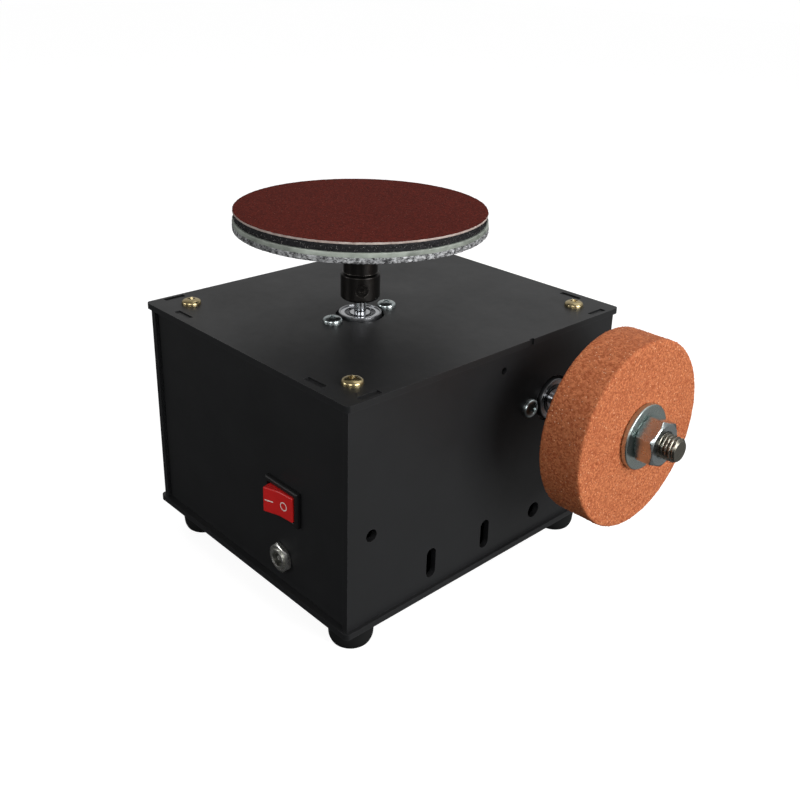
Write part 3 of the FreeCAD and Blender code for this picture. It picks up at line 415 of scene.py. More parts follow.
def finish(name, tones, rough, patch=40.0, contrast=1.6, grain_mm=0.3, depth_mm=0.01, metallic=0.0,
           wear=None, dusty=None, rings=None, **constants):
    """A material: tones and rough are (low, high) pairs; wear is (colour, amount, width in mm,
    metallic) for paler edges: wear, and on some finishes a painted edge highlight.
    """
    material, tree, shader = start_material(name)
    tone = group(tree, patches, Scale=patch, Contrast=contrast)
    colour = mixed(tree, tone, tones[0], tones[1])
    drift = group(tree, patches, Scale=patch * DRIFT_RATIO, Contrast=contrast)
    roughness = ranged(tree, drift, 0.0, 1.0, rough[0], rough[1])
    normal = bumped(tree, group(tree, grain, Grain_Size=grain_mm), depth_mm)
    metal = metallic
    if rings:
        centre, axis, pitch, ring_depth = rings
        marks = group(tree, turning_marks, Centre=centre, Axis=axis, Pitch=pitch)
        normal = bumped(tree, marks, ring_depth, normal=normal)
    # Paler edges: rubbed wear, and on the case and switch finishes also a painted edge highlight.
    if wear:
        wear_and_highlight_colour, amount, width, edge_metallic = wear
        wear_and_highlight_mask = group(tree, edge_wear, Width=width, Amount=amount)
        colour = mixed(tree, wear_and_highlight_mask, colour, wear_and_highlight_colour)
        roughness = ranged(tree, wear_and_highlight_mask, 0.0, 1.0, roughness, EDGE_ROUGHNESS)
        if edge_metallic != metallic:
            metal = ranged(tree, wear_and_highlight_mask, 0.0, 1.0, metallic, edge_metallic)
    if dusty:
        dust_colour, amount = dusty
        lying_dust = group(tree, dust, Amount=amount)
        colour = mixed(tree, lying_dust, colour, dust_colour)
        roughness = ranged(tree, lying_dust, 0.0, 1.0, roughness, DUST_ROUGHNESS)
    feed(tree, colour, shader.inputs["Base Color"])
    feed(tree, roughness, shader.inputs["Roughness"])
    feed(tree, metal, shader.inputs["Metallic"])
    feed(tree, normal, shader.inputs["Normal"])
    for key, value in constants.items():
        shader.inputs[key.replace("_", " ")].default_value = value
    return material


GREY_DUST = rgb(150, 140, 132)
print("recipe ready")

# %% [markdown]
# ## Case finishes
# The case is steel sheet with a satin black powder coat: almost black, faintly cool, with a fine
# pebble that spreads reflections.  Its cut edges are painted paler: partly thinner powder, and partly a
# painted highlight for the light that the sharp cut edges would catch if they were rounded.
# The feet are matt rubber.  The corner screws are zinc with a yellow passivation, which drifts from
# straw to a greenish gold; the motor screws, washer and nut are clear zinc, which is faintly blue.

# %% Case finishes
# The paler edge colour rgb(52, 52, 54) is partly worn powder and partly a painted edge highlight on the sharp
# cut sheets.
case_black = finish(
    "case_black", (rgb(16, 17, 18), rgb(24, 25, 27)), (0.42, 0.56), patch=14.0, grain_mm=0.22,
    depth_mm=0.012, wear=(rgb(52, 52, 54), 0.5, 0.3, 0.0), dusty=(GREY_DUST, 0.03), Specular_IOR_Level=0.5)
rubber = finish(
    "rubber", (rgb(12, 13, 13), rgb(20, 21, 21)), (0.6, 0.78), patch=60.0, grain_mm=0.35, depth_mm=0.02,
    wear=(rgb(38, 38, 37), 0.6, 0.6, 0.0), dusty=(GREY_DUST, 0.06), Specular_IOR_Level=0.3)
yellow_zinc = finish(
    "yellow_zinc", (rgb(204, 182, 132), rgb(168, 158, 126)), (0.2, 0.34), patch=260.0, grain_mm=0.18,
    depth_mm=0.006, metallic=1.0, wear=(rgb(225, 214, 186), 0.6, 0.15, 1.0))
bright_zinc = finish(
    "bright_zinc", (rgb(196, 204, 203), rgb(168, 178, 180)), (0.2, 0.36), patch=120.0, grain_mm=0.2,
    depth_mm=0.006, metallic=1.0, wear=(rgb(232, 234, 232), 0.5, 0.2, 1.0))
post_steel = finish(
    "post_steel", (rgb(176, 172, 160), rgb(150, 148, 140)), (0.3, 0.48), patch=90.0, grain_mm=0.3,
    depth_mm=0.01, metallic=1.0)
print("case finishes:", case_black.name, rubber.name, yellow_zinc.name, bright_zinc.name, post_steel.name)

# %% [markdown]
# ## Turned steel finishes
# The two couplings are turned from bar and blackened: dark, slightly oily, with lathe rings that
# stretch the highlights.  The bearings and shafts are bright ground steel.  Rings need a centre and
# an axis, and each spindle has its own, so the same recipe is called once for each.

# %% Turned finishes
def turned_finishes(name, tones, rough, pitch, depth, **more):
    """The same turned metal for the disc's axis and for the wheel's axis."""
    return {station: finish(f"{name}.{station}", tones, rough, rings=(centre, axis, pitch, depth),
                            metallic=1.0, **more)
            for station, centre, axis in (("disc", DISC_AXIS, Z_AXIS), ("wheel", WHEEL_AXIS, X_AXIS))}


black_steel = turned_finishes(
    "black_steel", (rgb(52, 50, 49), rgb(66, 64, 62)), (0.26, 0.42), 0.35, 0.012, patch=70.0,
    wear=(rgb(140, 136, 130), 0.45, 0.25, 1.0))
bearing_steel = turned_finishes(
    "bearing_steel", (rgb(202, 204, 206), rgb(180, 182, 186)), (0.14, 0.26), 0.2, 0.004, patch=150.0)
motor_steel = turned_finishes(
    "motor_steel", (rgb(168, 170, 172), rgb(142, 144, 148)), (0.26, 0.4), 0.3, 0.006, patch=60.0,
    wear=(rgb(214, 214, 214), 0.5, 0.25, 1.0))
shield_steel = turned_finishes(
    "bearing_steel.shield", (rgb(60, 62, 66), rgb(88, 90, 94)), (0.2, 0.34), 0.3, 0.006, patch=90.0,
    wear=(rgb(190, 192, 194), 0.6, 0.2, 1.0))
stud_steel = turned_finishes(
    "stud_steel", (rgb(120, 116, 106), rgb(150, 146, 134)), (0.2, 0.34), 0.25, 0.006, patch=110.0,
    wear=(rgb(225, 224, 216), 0.7, 0.2, 1.0))["wheel"]
washer_zinc = turned_finishes(
    "washer_zinc", (rgb(176, 190, 186), rgb(200, 206, 202)), (0.22, 0.34), 0.5, 0.008, patch=70.0,
    wear=(rgb(226, 230, 226), 0.5, 0.25, 1.0))
print("turned finishes:", sorted(m.name for m in bpy.data.materials if "." in m.name))

# %% [markdown]
# ## Moulded, electrical and hidden finishes
# The switch body is moulded black plastic and its rocker is glossy red.  The socket is nickel.  The
# rest sits inside the case and shows only as a glint through a slot: enamelled copper, brushes,
# magnets, brass blades and insulated leads.  Each still gets its own recipe, because the model is
# opened and looked into.

# %% Moulded and electrical finishes
# The paler edge colours of switch_black and rocker_red are partly scuffed plastic and partly a painted edge
# highlight.
switch_black = finish("switch_black", (rgb(13, 13, 14), rgb(20, 20, 21)), (0.4, 0.52), patch=90.0,
                      grain_mm=0.25, depth_mm=0.008, wear=(rgb(26, 26, 26), 0.3, 0.3, 0.0))
rocker_red = finish("rocker_red", (rgb(196, 26, 27), rgb(210, 36, 34)), (0.3, 0.42), patch=120.0,
                    grain_mm=0.4, depth_mm=0.003, wear=(rgb(206, 50, 46), 0.3, 0.3, 0.0),
                    Coat_Weight=0.1, Coat_Roughness=0.2)
mark_white = finish("mark_white", (rgb(232, 214, 208), rgb(244, 236, 230)), (0.4, 0.55), patch=600.0,
                    grain_mm=0.1, depth_mm=0.004)
nickel = finish("nickel", (rgb(242, 242, 238), rgb(228, 228, 222)), (0.22, 0.34), patch=220.0, grain_mm=0.15,
                depth_mm=0.005, metallic=1.0, wear=(rgb(238, 236, 228), 0.6, 0.15, 1.0))
motor_plastic = finish("motor_plastic", (rgb(28, 28, 30), rgb(40, 40, 42)), (0.45, 0.6), grain_mm=0.4)
magnet = finish("magnet", (rgb(46, 46, 50), rgb(64, 64, 68)), (0.55, 0.8), patch=200.0, grain_mm=0.15,
                depth_mm=0.02)
copper = finish("copper", (rgb(184, 96, 52), rgb(150, 66, 34)), (0.2, 0.36), patch=180.0, grain_mm=0.25,
                depth_mm=0.03, metallic=1.0, Coat_Weight=0.5)
carbon = finish("carbon", (rgb(34, 34, 36), rgb(50, 50, 52)), (0.5, 0.7), patch=300.0, grain_mm=0.12,
                depth_mm=0.02)
terminal_brass = finish("terminal_brass", (rgb(206, 176, 96), rgb(180, 148, 74)), (0.24, 0.4), patch=200.0,
                        metallic=1.0, wear=(rgb(230, 208, 140), 0.5, 0.15, 1.0))
wire_red = finish("wire_red", (rgb(170, 24, 22), rgb(146, 16, 16)), (0.34, 0.46), patch=80.0, depth_mm=0.004)
wire_black = finish("wire_black", (rgb(20, 20, 21), rgb(30, 30, 31)), (0.34, 0.46), patch=80.0,
                    depth_mm=0.004)
print(len(bpy.data.materials), "materials so far")

# %% [markdown]
# ## Abrasive finishes
# Bonded and coated abrasives are crushed grains in resin.  A Voronoi texture is the natural pattern:
# each cell is one grain with its own random tone, and the distance to the cell's middle shapes it.
# A few grains happen to face the light and flash, so a high random value turns them pale and smooth.

# %% The grit group
grit, given, result = start_group(
    "grit", {"Grain Size": (NUMBER, 0.5), "Flash Share": (NUMBER, 0.04)},
    {"Tone": NUMBER, "Flash": NUMBER, "Height": NUMBER})
grit_scale = calc(grit, "DIVIDE", 1 / MM, given["Grain Size"])
cells = add(grit, "ShaderNodeTexVoronoi", Vector=own_place(grit), Scale=grit_scale)
cell_random = add(grit, "ShaderNodeSeparateXYZ", Vector=cells.outputs["Color"])
feed(grit, cell_random.outputs["X"], result.inputs["Tone"])
rare = calc(grit, "GREATER_THAN", cell_random.outputs["Y"], calc(grit, "SUBTRACT", 1.0, given["Flash Share"]))
core = ranged(grit, cells.outputs["Distance"], 0.36, 0.12)
feed(grit, calc(grit, "MULTIPLY", rare, core), result.inputs["Flash"])
bump_height = calc(grit, "MULTIPLY", ranged(grit, cells.outputs["Distance"], 0.7, 0.0),
                   ranged(grit, cell_random.outputs["Z"], 0.0, 1.0, 0.4, 1.0))
feed(grit, bump_height, result.inputs["Height"])


def grit_finish(name, tones, flash_colour, grain_mm, flash_share, depth_mm, rough, patch=30.0, shine=0.2):
    """Grains in a resin: two tones by grain, broad patches over them, and a few bright facets."""
    material, tree, shader = start_material(name)
    grains = tree.nodes.new("ShaderNodeGroup")
    grains.node_tree = grit
    grains.inputs["Grain Size"].default_value = grain_mm
    grains.inputs["Flash Share"].default_value = flash_share
    by_grain = mixed(tree, grains.outputs["Tone"], tones[0], tones[1])
    broad_tone = group(tree, patches, Scale=patch, Contrast=1.8)
    colour = mixed(tree, calc(tree, "MULTIPLY", broad_tone, 0.35), by_grain, tones[2])
    colour = mixed(tree, grains.outputs["Flash"], colour, flash_colour)
    feed(tree, colour, shader.inputs["Base Color"])
    feed(tree, ranged(tree, grains.outputs["Flash"], 0.0, 1.0, rough, 0.25), shader.inputs["Roughness"])
    feed(tree, bumped(tree, grains.outputs["Height"], depth_mm), shader.inputs["Normal"])
    shader.inputs["Specular IOR Level"].default_value = shine
    return material


wheel_orange = grit_finish("wheel_orange", (rgb(174, 90, 54), rgb(228, 144, 96), rgb(156, 74, 42)),
                           rgb(255, 222, 184), 0.66, 0.08, 0.25, 0.7)
abrasive = grit_finish("abrasive", (rgb(72, 25, 19), rgb(114, 42, 32), rgb(68, 23, 18)),
                       rgb(150, 92, 78), 0.5, 0.04, 0.1, 0.8, patch=16.0, shine=0.06)
print("abrasives:", wheel_orange.name, abrasive.name)

# %% [markdown]
# ## Pad finishes
# Under the abrasive sheet the disc is a sandwich.  The hook pad is black fibre with pale ends, the
# plate under it is a grey-green sheet, and the lowest board has a sawn, splintery edge, where pale
# splinters and dark gaps sit side by side.  The board's pattern is a sharp noise, flattened a
# little along its layers, so it reads as torn fibres.

# %% Pad finishes
hook_black = finish("hook_black", (rgb(6, 6, 8), rgb(24, 24, 29)), (0.6, 0.85), patch=500.0, grain_mm=0.25,
                    depth_mm=0.1, contrast=2.4)
fibre_pale = finish("fibre_pale", (rgb(40, 39, 42), rgb(186, 182, 178)), (0.5, 0.7), patch=900.0,
                    contrast=3.0)
plate_pale = finish("plate_pale", (rgb(108, 114, 106), rgb(186, 194, 184)), (0.4, 0.6), patch=32.0,
                    grain_mm=0.5, depth_mm=0.08, contrast=3.4, wear=(rgb(206, 210, 202), 0.6, 0.3, 0.0))
paper_pale = finish("paper_pale", (rgb(150, 128, 120), rgb(206, 194, 186)), (0.75, 0.9), patch=260.0,
                    grain_mm=0.2, depth_mm=0.03, contrast=2.4)

board_pale, tree, shader = start_material("board_pale")
SPLINTER_SCALE = (620, 620, 900)
stretched = add(tree, "ShaderNodeMapping", Vector=own_place(tree), Scale=SPLINTER_SCALE).outputs["Vector"]
splinters = ranged(tree, noise(tree, stretched, 1.0, detail=5.0, roughness=0.75), 0.4, 0.56)
stain = group(tree, patches, Scale=38.0, Contrast=3.2)
shade = calc(tree, "MULTIPLY", splinters, ranged(tree, stain, 0.0, 1.0, 0.3, 1.0))
feed(tree, mixed(tree, shade, rgb(48, 48, 50), rgb(222, 224, 226)), shader.inputs["Base Color"])
feed(tree, ranged(tree, splinters, 0.0, 1.0, 0.85, 0.5), shader.inputs["Roughness"])
feed(tree, bumped(tree, splinters, 0.25), shader.inputs["Normal"])
print("pad finishes:", hook_black.name, plate_pale.name, paper_pale.name, board_pale.name)

# %% [markdown]
# ## Making and placing a piece
# Every piece ends the same way: a mesh becomes an object at the origin, faces are shaded smooth with
# sharp edges kept, the piece rides on its body, and it says which model nodes it stands for.

# %% Finishing a piece
SHARP_ANGLE = math.radians(32)


def smooth(mesh, sharp):
    """Shades a mesh smooth, with edges steeper than sharp kept sharp."""
    mesh.polygons.foreach_set("use_smooth", [True] * len(mesh.polygons))
    mesh.set_sharp_from_angle(angle=sharp)


def seat(name, mesh, body, material, *nodes, sharp=SHARP_ANGLE):
    """Turns a finished mesh into a piece of the object, riding on body and standing for nodes.
    A mesh whose normals are already settled is given sharp=None."""
    if material and not mesh.materials:
        mesh.materials.append(material)
    if sharp is not None:
        smooth(mesh, sharp)
    piece = bpy.data.objects.new(name, mesh)
    bpy.context.scene.collection.objects.link(piece)
    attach(piece, body)
    if nodes:
        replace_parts(piece, *nodes)
    return piece


def to_mesh(bm, name):
    """Turns a bmesh into a mesh whose faces point outwards."""
    bmesh.ops.recalc_face_normals(bm, faces=bm.faces)
    mesh = bpy.data.meshes.new(name)
    bm.to_mesh(mesh)
    bm.free()
    return mesh


def body_of(node):
    """The name of the body that a model node rides on."""
    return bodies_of(frame["nodes"][node])[0]


# %% [markdown]
# ## Sheet metal and other shapes taken from the model
# The case's sheets, posts, switch body, jack and motor cans already have the right shape, holes and
# tabs.  The solid parts have knife-sharp edges, and a knife edge never catches the light: a copy of
# such a node has its triangles merged and its flat faces joined up, and then a Bevel rounds its
# edges, with weighted normals that keep the big faces flat to the eye.  The thin sheets keep their
# sharp cut edges, as cut sheet does, and their flat faces get the exact normal of their plane; the
# light on those edges is a painted highlight in the case finish.

# %% Softened copies
FLAT_ANGLE = math.radians(1.0)


def merged_copy(node, join_flats=True):
    """A copy of a node's mesh with its loose triangles merged and, if wanted, its flats joined up."""
    bm = bmesh.new()
    bm.from_mesh(frame["nodes"][node].data)
    bmesh.ops.remove_doubles(bm, verts=bm.verts, dist=0.002 * MM)
    if join_flats:
        bmesh.ops.dissolve_limit(bm, angle_limit=FLAT_ANGLE, verts=bm.verts, edges=bm.edges)
    return bm


def with_modifiers(mesh, name, *settings):
    """Applies modifiers, each given as (kind, its settings), and gives the resulting mesh."""
    holder = bpy.data.objects.new(name, mesh)
    bpy.context.scene.collection.objects.link(holder)
    for kind, values in settings:
        modifier = holder.modifiers.new(kind.title(), kind)
        for key, value in values.items():
            setattr(modifier, key, value)
    result = bpy.data.meshes.new_from_object(holder.evaluated_get(bpy.context.evaluated_depsgraph_get()))
    bpy.data.objects.remove(holder)
    result.name = name
    return result


BEVEL_ANGLE = math.radians(30)
NO_SHARP = math.radians(180)


def bevelled(mesh, name, edge_mm, segments=2):
    """Rounds the edges of a mesh that are steeper than BEVEL_ANGLE."""
    smooth(mesh, NO_SHARP)
    return with_modifiers(
        mesh, name,
        ("BEVEL", {"width": edge_mm * MM, "segments": segments, "limit_method": "ANGLE",
                   "angle_limit": BEVEL_ANGLE, "use_clamp_overlap": False, "loop_slide": False,
                   "miter_outer": "MITER_ARC"}),
        ("WEIGHTED_NORMAL", {"mode": "FACE_AREA", "weight": 100}))


def softened(node, material, edge_mm, segments=2, bm=None):
    """A bevelled copy of a node stands in for it; bm is the node's mesh if it was changed first."""
    mesh = to_mesh(bm or merged_copy(node), node + "_soft")
    mesh.materials.clear()
    shaped = bevelled(mesh, node + "_shape", edge_mm, segments)
    piece = seat(node + "_soft", shaped, body_of(node), material, node, sharp=None)
    print(piece.name, len(shaped.polygons), "faces")
    return piece


FACES_AN_AXIS = math.cos(math.radians(3))


def true_flats(mesh):
    """Gives each flat triangle of a sheet the normal of its plane, so that the sheet reflects as one
    plane.  A sheet's flats all face along the axes.  Their borders are marked sharp, which keeps
    their normals apart from those of the holes' walls."""
    flats = [face for face in mesh.polygons if max(abs(part) for part in face.normal) > FACES_AN_AXIS]
    for face in flats:
        for corner in face.loop_indices:
            mesh.edges[mesh.loops[corner].edge_index].use_edge_sharp = True
    mesh.update()
    normals = [corner.vector.copy() for corner in mesh.corner_normals]
    for face in flats:
        for corner in face.loop_indices:
            normals[corner] = Vector([round(part) for part in face.normal])
    mesh.normals_split_custom_set(normals)


def cut_sheet(node):
    """A case sheet keeps its sharp cut edges; only the walls of its round holes are shaded smooth."""
    mesh = to_mesh(merged_copy(node, join_flats=False), node + "_shape")
    print(node, len(mesh.polygons), "faces")
    sheet = seat(node + "_cut", mesh, body_of(node), case_black, node)
    true_flats(mesh)
    return sheet


for sheet_node in ("top_plate", "bottom_plate", "front_panel", "rear_panel", "left_panel", "right_panel"):
    cut_sheet(sheet_node)
softened("corner_posts", post_steel, 0.3)
softened("switch_housing", switch_black, 0.35, segments=3)
softened("jack_body", nickel, 0.12)
for station in ("disc", "wheel"):
    softened(station + "_motor_can", motor_steel[station], 0.18)
softened("disc_coupling", black_steel["disc"], 0.2, segments=3)

# %% [markdown]
# ## Turned pieces
# Washers, boards, the abrasive sheet and the stone wheel are all bodies of revolution.  A profile is
# a list of corners, each with its distance from the axis, its height and how much it is rounded;
# sweeping it round the axis in even steps gives clean quads, which take bumps and wobble well.

# %% Sweeping a profile
def rounded_profile(corners, steps=4):
    """Replaces each corner (radius, height, rounding) by a small arc of that rounding."""
    path = []
    for index, (r, h, rounding) in enumerate(corners):
        corner = Vector((r, h))
        before = Vector(corners[index - 1][:2]) - corner
        after = Vector(corners[(index + 1) % len(corners)][:2]) - corner
        if rounding == 0:
            path.append(corner)
            continue
        start = corner + before.normalized() * rounding
        end = corner + after.normalized() * rounding
        for step in range(steps + 1):
            t = step / steps
            path.append(start * (1 - t) ** 2 + corner * 2 * t * (1 - t) + end * t ** 2)
    return path


def split_profile(path, longest):
    """Divides long runs, so that a wobble or a bump has points to move."""
    fine = []
    for index, point in enumerate(path):
        following = path[(index + 1) % len(path)]
        parts = max(1, math.ceil((following - point).length / longest))
        fine.extend(point.lerp(following, part / parts) for part in range(parts))
    return fine


def swept(corners, centre, axis, around=128, longest=1e9, steps=4):
    """Sweeps a closed profile in millimetres round an axis through centre; gives a bmesh in metres."""
    path = split_profile(rounded_profile(corners, steps), longest)
    up = Vector(axis)
    side = Vector((0, 0, 1)).cross(up) if abs(up.z) < 0.5 else Vector((1, 0, 0))
    side.normalize()
    other = up.cross(side)
    bm = bmesh.new()
    rings = []
    for point in path:
        ring = []
        for index in range(around):
            angle = 2 * math.pi * index / around
            outward = side * math.cos(angle) + other * math.sin(angle)
            ring.append(bm.verts.new(centre + (outward * point.x + up * point.y) * MM))
        rings.append(ring)
    for index, ring in enumerate(rings):
        following = rings[(index + 1) % len(rings)]
        for step in range(around):
            after = (step + 1) % around
            bm.faces.new((ring[step], ring[after], following[after], following[step]))
    bmesh.ops.remove_doubles(bm, verts=bm.verts, dist=0.0005 * MM)
    return bm


def ring_profile(inner, outer, low, high, rounding):
    """The four corners of a plain ring."""
    return [(inner, low, rounding), (outer, low, rounding), (outer, high, rounding), (inner, high, rounding)]


print("a ring profile:", ring_profile(2, 5, 0, 1, 0.2))

# %% [markdown]
# ## Washers
# The two big washers were stamped from sheet, so their rims are rolled over and not square.  The
# small one under the disc is turned black.

# %% Washers
WASHER_BORE = 5.05


def washer(node, axis_point, axis, material, rounding):
    """A turned washer in the place and size of its model node."""
    extent = size(node)
    along = extent.dot(axis) / MM
    across = (extent.z if axis == X_AXIS else extent.x) / 2 / MM
    low = (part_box(node)[0] - axis_point).dot(axis) / MM
    profile = ring_profile(WASHER_BORE, across, low, low + along, rounding)
    mesh = to_mesh(swept(profile, axis_point, axis), node + "_shape")
    print(node, "radius", round(across, 2), "thickness", round(along, 2))
    return seat(node + "_turned", mesh, body_of(node), material, node)


washer("outer_washer", WHEEL_AXIS, X_AXIS, washer_zinc["wheel"], 0.7)
washer("inner_washer", WHEEL_AXIS, X_AXIS, washer_zinc["wheel"], 0.7)
washer("disc_washer", DISC_AXIS, Z_AXIS, black_steel["disc"], 0.2)

# %% [markdown]
# ## Bearing shields
# Each motor's boss holds a ball bearing.  Its balls are covered by a pressed steel shield, whose
# ridge and rolled edges give the rings of light round the shaft.  The model leaves the balls open,
# so the shield is added here, just under the bearing's face and clear of both races' turning.

# %% Bearing shields
SHIELD_INNER = 4.45
SHIELD_OUTER = 6.6
SHIELD_RIDGE = 5.4
SHIELD_ROLL = 0.08
# Each corner of the shield's profile: distance from the axis, depth under the bearing's face, rounding.
SHIELD_PROFILE = (
    (SHIELD_INNER, 0.5, 0), (SHIELD_OUTER, 0.5, 0), (SHIELD_OUTER, 0.2, SHIELD_ROLL),
    (SHIELD_RIDGE + 0.5, 0.32, SHIELD_ROLL), (SHIELD_RIDGE, 0.08, 0.15),
    (SHIELD_RIDGE - 0.45, 0.35, SHIELD_ROLL), (SHIELD_INNER, 0.3, SHIELD_ROLL))


def bearing_shield(station, axis_point, axis):
    """A shield over the balls of one motor's bearing."""
    face = (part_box(station + "_motor_bearing_inners")[1] - axis_point).dot(axis) / MM
    profile = [(radius, face - under, rounding) for radius, under, rounding in SHIELD_PROFILE]
    name = station + "_bearing_shield"
    mesh = to_mesh(swept(profile, axis_point, axis, around=96), name + "_shape")
    print(name, "face at", round(face, 2))
    return seat(name, mesh, "case", shield_steel[station], sharp=math.radians(20))


bearing_shield("disc", DISC_AXIS, Z_AXIS)
bearing_shield("wheel", WHEEL_AXIS, X_AXIS)

# %% [markdown]
# ## Hexagon nuts
# A nut is a hexagon whose corners are cut by a cone at each end, which leaves the curved chamfer
# lines on every flat.  At each angle the wall stands at the hexagon's distance or the cone's,
# whichever is nearer the axis, so both shapes come out of one small rule.

# %% Nuts
NUT_SIDE_STEPS = 12
CHAMFER_RATIO = math.tan(math.radians(30))
CHAMFER_REACH = 0.95
CHAMFER_STEPS = (0, 0.35, 0.7, 1)
BORE_LIP = 0.036
NUT_SHARP = math.radians(20)


def nut_mesh(name, centre, axis, flats, thickness, bore, turn_degrees):
    """centre is the middle of the face at the low end of the axis; sizes in millimetres."""
    apothem = flats / 2
    corner = apothem / math.cos(math.pi / 6)
    cone_top = apothem * CHAMFER_REACH
    depth = (corner - cone_top) * CHAMFER_RATIO
    heights = [depth * share for share in CHAMFER_STEPS]
    heights += [thickness - height for height in reversed(heights)]
    up = Vector(axis)
    side = (Vector((0, 0, 1)).cross(up) if abs(up.z) < 0.5 else Vector((1, 0, 0))).normalized()
    other = up.cross(side)
    around = 6 * NUT_SIDE_STEPS
    bm = bmesh.new()

    def ring(height, radius_at):
        points = []
        for index in range(around):
            angle = 2 * math.pi * index / around
            radius = radius_at(angle, height)
            turned_by = angle + math.radians(turn_degrees)
            outward = side * math.cos(turned_by) + other * math.sin(turned_by)
            points.append(bm.verts.new(centre + (outward * radius + up * height) * MM))
        return points

    def wall(angle, height):
        within = (angle + math.pi / 6) % (math.pi / 3) - math.pi / 6
        from_end = min(height, thickness - height)
        return min(apothem / math.cos(within), cone_top + from_end / CHAMFER_RATIO)

    lip = BORE_LIP * flats
    rings = [ring(height, wall) for height in heights]
    for height, radius in ((thickness, bore + lip), (thickness - lip, bore), (lip, bore), (0, bore + lip)):
        rings.append(ring(height, lambda angle, height, radius=radius: radius))
    for index, points in enumerate(rings):
        following = rings[(index + 1) % len(rings)]
        for step in range(around):
            after = (step + 1) % around
            bm.faces.new((points[step], points[after], following[after], following[step]))
    return to_mesh(bm, name)


ARBOR_NUT_FLATS = 17
ARBOR_NUT_TURN = 8
nut_low = Vector((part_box("arbor_nut")[0].x, WHEEL_AXIS.y, WHEEL_AXIS.z))
arbor_nut_mesh = nut_mesh("arbor_nut_shape", nut_low, X_AXIS, ARBOR_NUT_FLATS, size("arbor_nut").x / MM,
                          WASHER_BORE, ARBOR_NUT_TURN)
arbor_nut = seat("arbor_nut_turned", arbor_nut_mesh, "wheel_spindle", bright_zinc, "arbor_nut",
                 sharp=NUT_SHARP)

JACK_NUT_FLATS = 11
JACK_BORE = 4.05
JACK_NUT_TURN = 14
jack_low = Vector((middle("jack_nut").x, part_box("jack_nut")[1].y, middle("jack_nut").z))
jack_nut_mesh = nut_mesh("jack_nut_shape", jack_low, -Y_AXIS, JACK_NUT_FLATS, size("jack_nut").y / MM,
                         JACK_BORE, JACK_NUT_TURN)
jack_nut = seat("jack_nut_turned", jack_nut_mesh, "case", nickel, "jack_nut", sharp=NUT_SHARP)
print("nuts:", arbor_nut.name, jack_nut.name)

# %% [markdown]
# ## A Geometry Nodes workbench
# What repeats or follows a rule is made by Geometry Nodes: screws, threads, grains and fibres.  A
# tree is built in code with named inputs.  To use it, a plain mesh gets the tree as a modifier, its
# inputs are set by their sockets' identifiers, the result is taken as a plain mesh, and the modifier
# goes away with its holder.

# %% Starting and running a tree
LENGTH = "NodeSocketFloat"
WHOLE = "NodeSocketInt"
MATERIAL = "NodeSocketMaterial"


def start_tree(name, inputs):
    """A Geometry Nodes tree; inputs are name: (socket kind, value)."""
    tree = bpy.data.node_groups.new(name, "GeometryNodeTree")
    tree.is_modifier = True
    tree.interface.new_socket("Geometry", in_out="INPUT", socket_type="NodeSocketGeometry")
    tree.interface.new_socket("Geometry", in_out="OUTPUT", socket_type="NodeSocketGeometry")
    for label, (kind, value) in inputs.items():
        made = tree.interface.new_socket(label, in_out="INPUT", socket_type=kind)
        if value is not None:
            made.default_value = value
    entry = tree.nodes.new("NodeGroupInput")
    return tree, {item.name: item for item in entry.outputs if item.name}, tree.nodes.new("NodeGroupOutput")


def end_tree(tree, geometry, material, result):
    """Every tree ends the same way: real geometry, and a material on it."""
    real = out(add(tree, "GeometryNodeRealizeInstances", Geometry=geometry))
    painted = out(add(tree, "GeometryNodeSetMaterial", Geometry=real, Material=material))
    feed(tree, painted, result.inputs["Geometry"])


def run_tree(tree, mesh, name, **values):
    """Runs a tree on a mesh with the given input values; gives the resulting plain mesh."""
    holder = bpy.data.objects.new(name + "_holder", mesh)
    bpy.context.scene.collection.objects.link(holder)
    modifier = holder.modifiers.new("Tree", "NODES")
    modifier.node_group = tree
    for item in tree.interface.items_tree:
        key = item.name.replace(" ", "_")
        if item.in_out == "INPUT" and key in values:
            modifier[item.identifier] = values.pop(key)
    if values:
        raise ValueError(f"{tree.name} has no input {sorted(values)}")
    result = bpy.data.meshes.new_from_object(holder.evaluated_get(bpy.context.evaluated_depsgraph_get()))
    holder.modifiers.remove(modifier)
    bpy.data.objects.remove(holder)
    result.name = name
    # The slots can keep an empty place from the parts that were joined; the tree paints only one finish.
    painted = [material for material in result.materials if material][0]
    result.materials.clear()
    result.materials.append(painted)
    result.polygons.foreach_set("material_index", [0] * len(result.polygons))
    return result


def join(tree, *parts):
    """Several geometries as one."""
    node = tree.nodes.new("GeometryNodeJoinGeometry")
    for part in parts:
        tree.links.new(part, node.inputs[0])
    return out(node)


def vector(tree, x=0.0, y=0.0, z=0.0):
    """A vector from three numbers or sockets."""
    return out(add(tree, "ShaderNodeCombineXYZ", X=x, Y=y, Z=z))


def random_number(tree, low, high, seed):
    """A number for each point, fixed by the seed."""
    return out(add(tree, "FunctionNodeRandomValue", {"data_type": "FLOAT"}, Min=low, Max=high, Seed=seed))


def facing_rotation(tree, direction, spin):
    """Turns a part's +Z to a direction, then spins it about that direction."""
    aimed = out(add(tree, "FunctionNodeAlignRotationToVector", {"axis": "Z"}, Vector=direction))
    spun = out(add(tree, "FunctionNodeAxisAngleToRotation", Axis=(0, 0, 1), Angle=spin))
    return out(add(tree, "FunctionNodeRotateRotation", {"rotation_space": "LOCAL"}, Rotation=aimed,
                   Rotate_By=spun))


def spots(places):
    """A mesh of single points, each with the direction that its part faces."""
    mesh = bpy.data.meshes.new("spots")
    mesh.from_pydata([place for place, _ in places], [], [])
    facing = mesh.attributes.new("facing", "FLOAT_VECTOR", "POINT")
    for entry, (_, direction) in zip(facing.data, places):
        entry.vector = direction
    return mesh


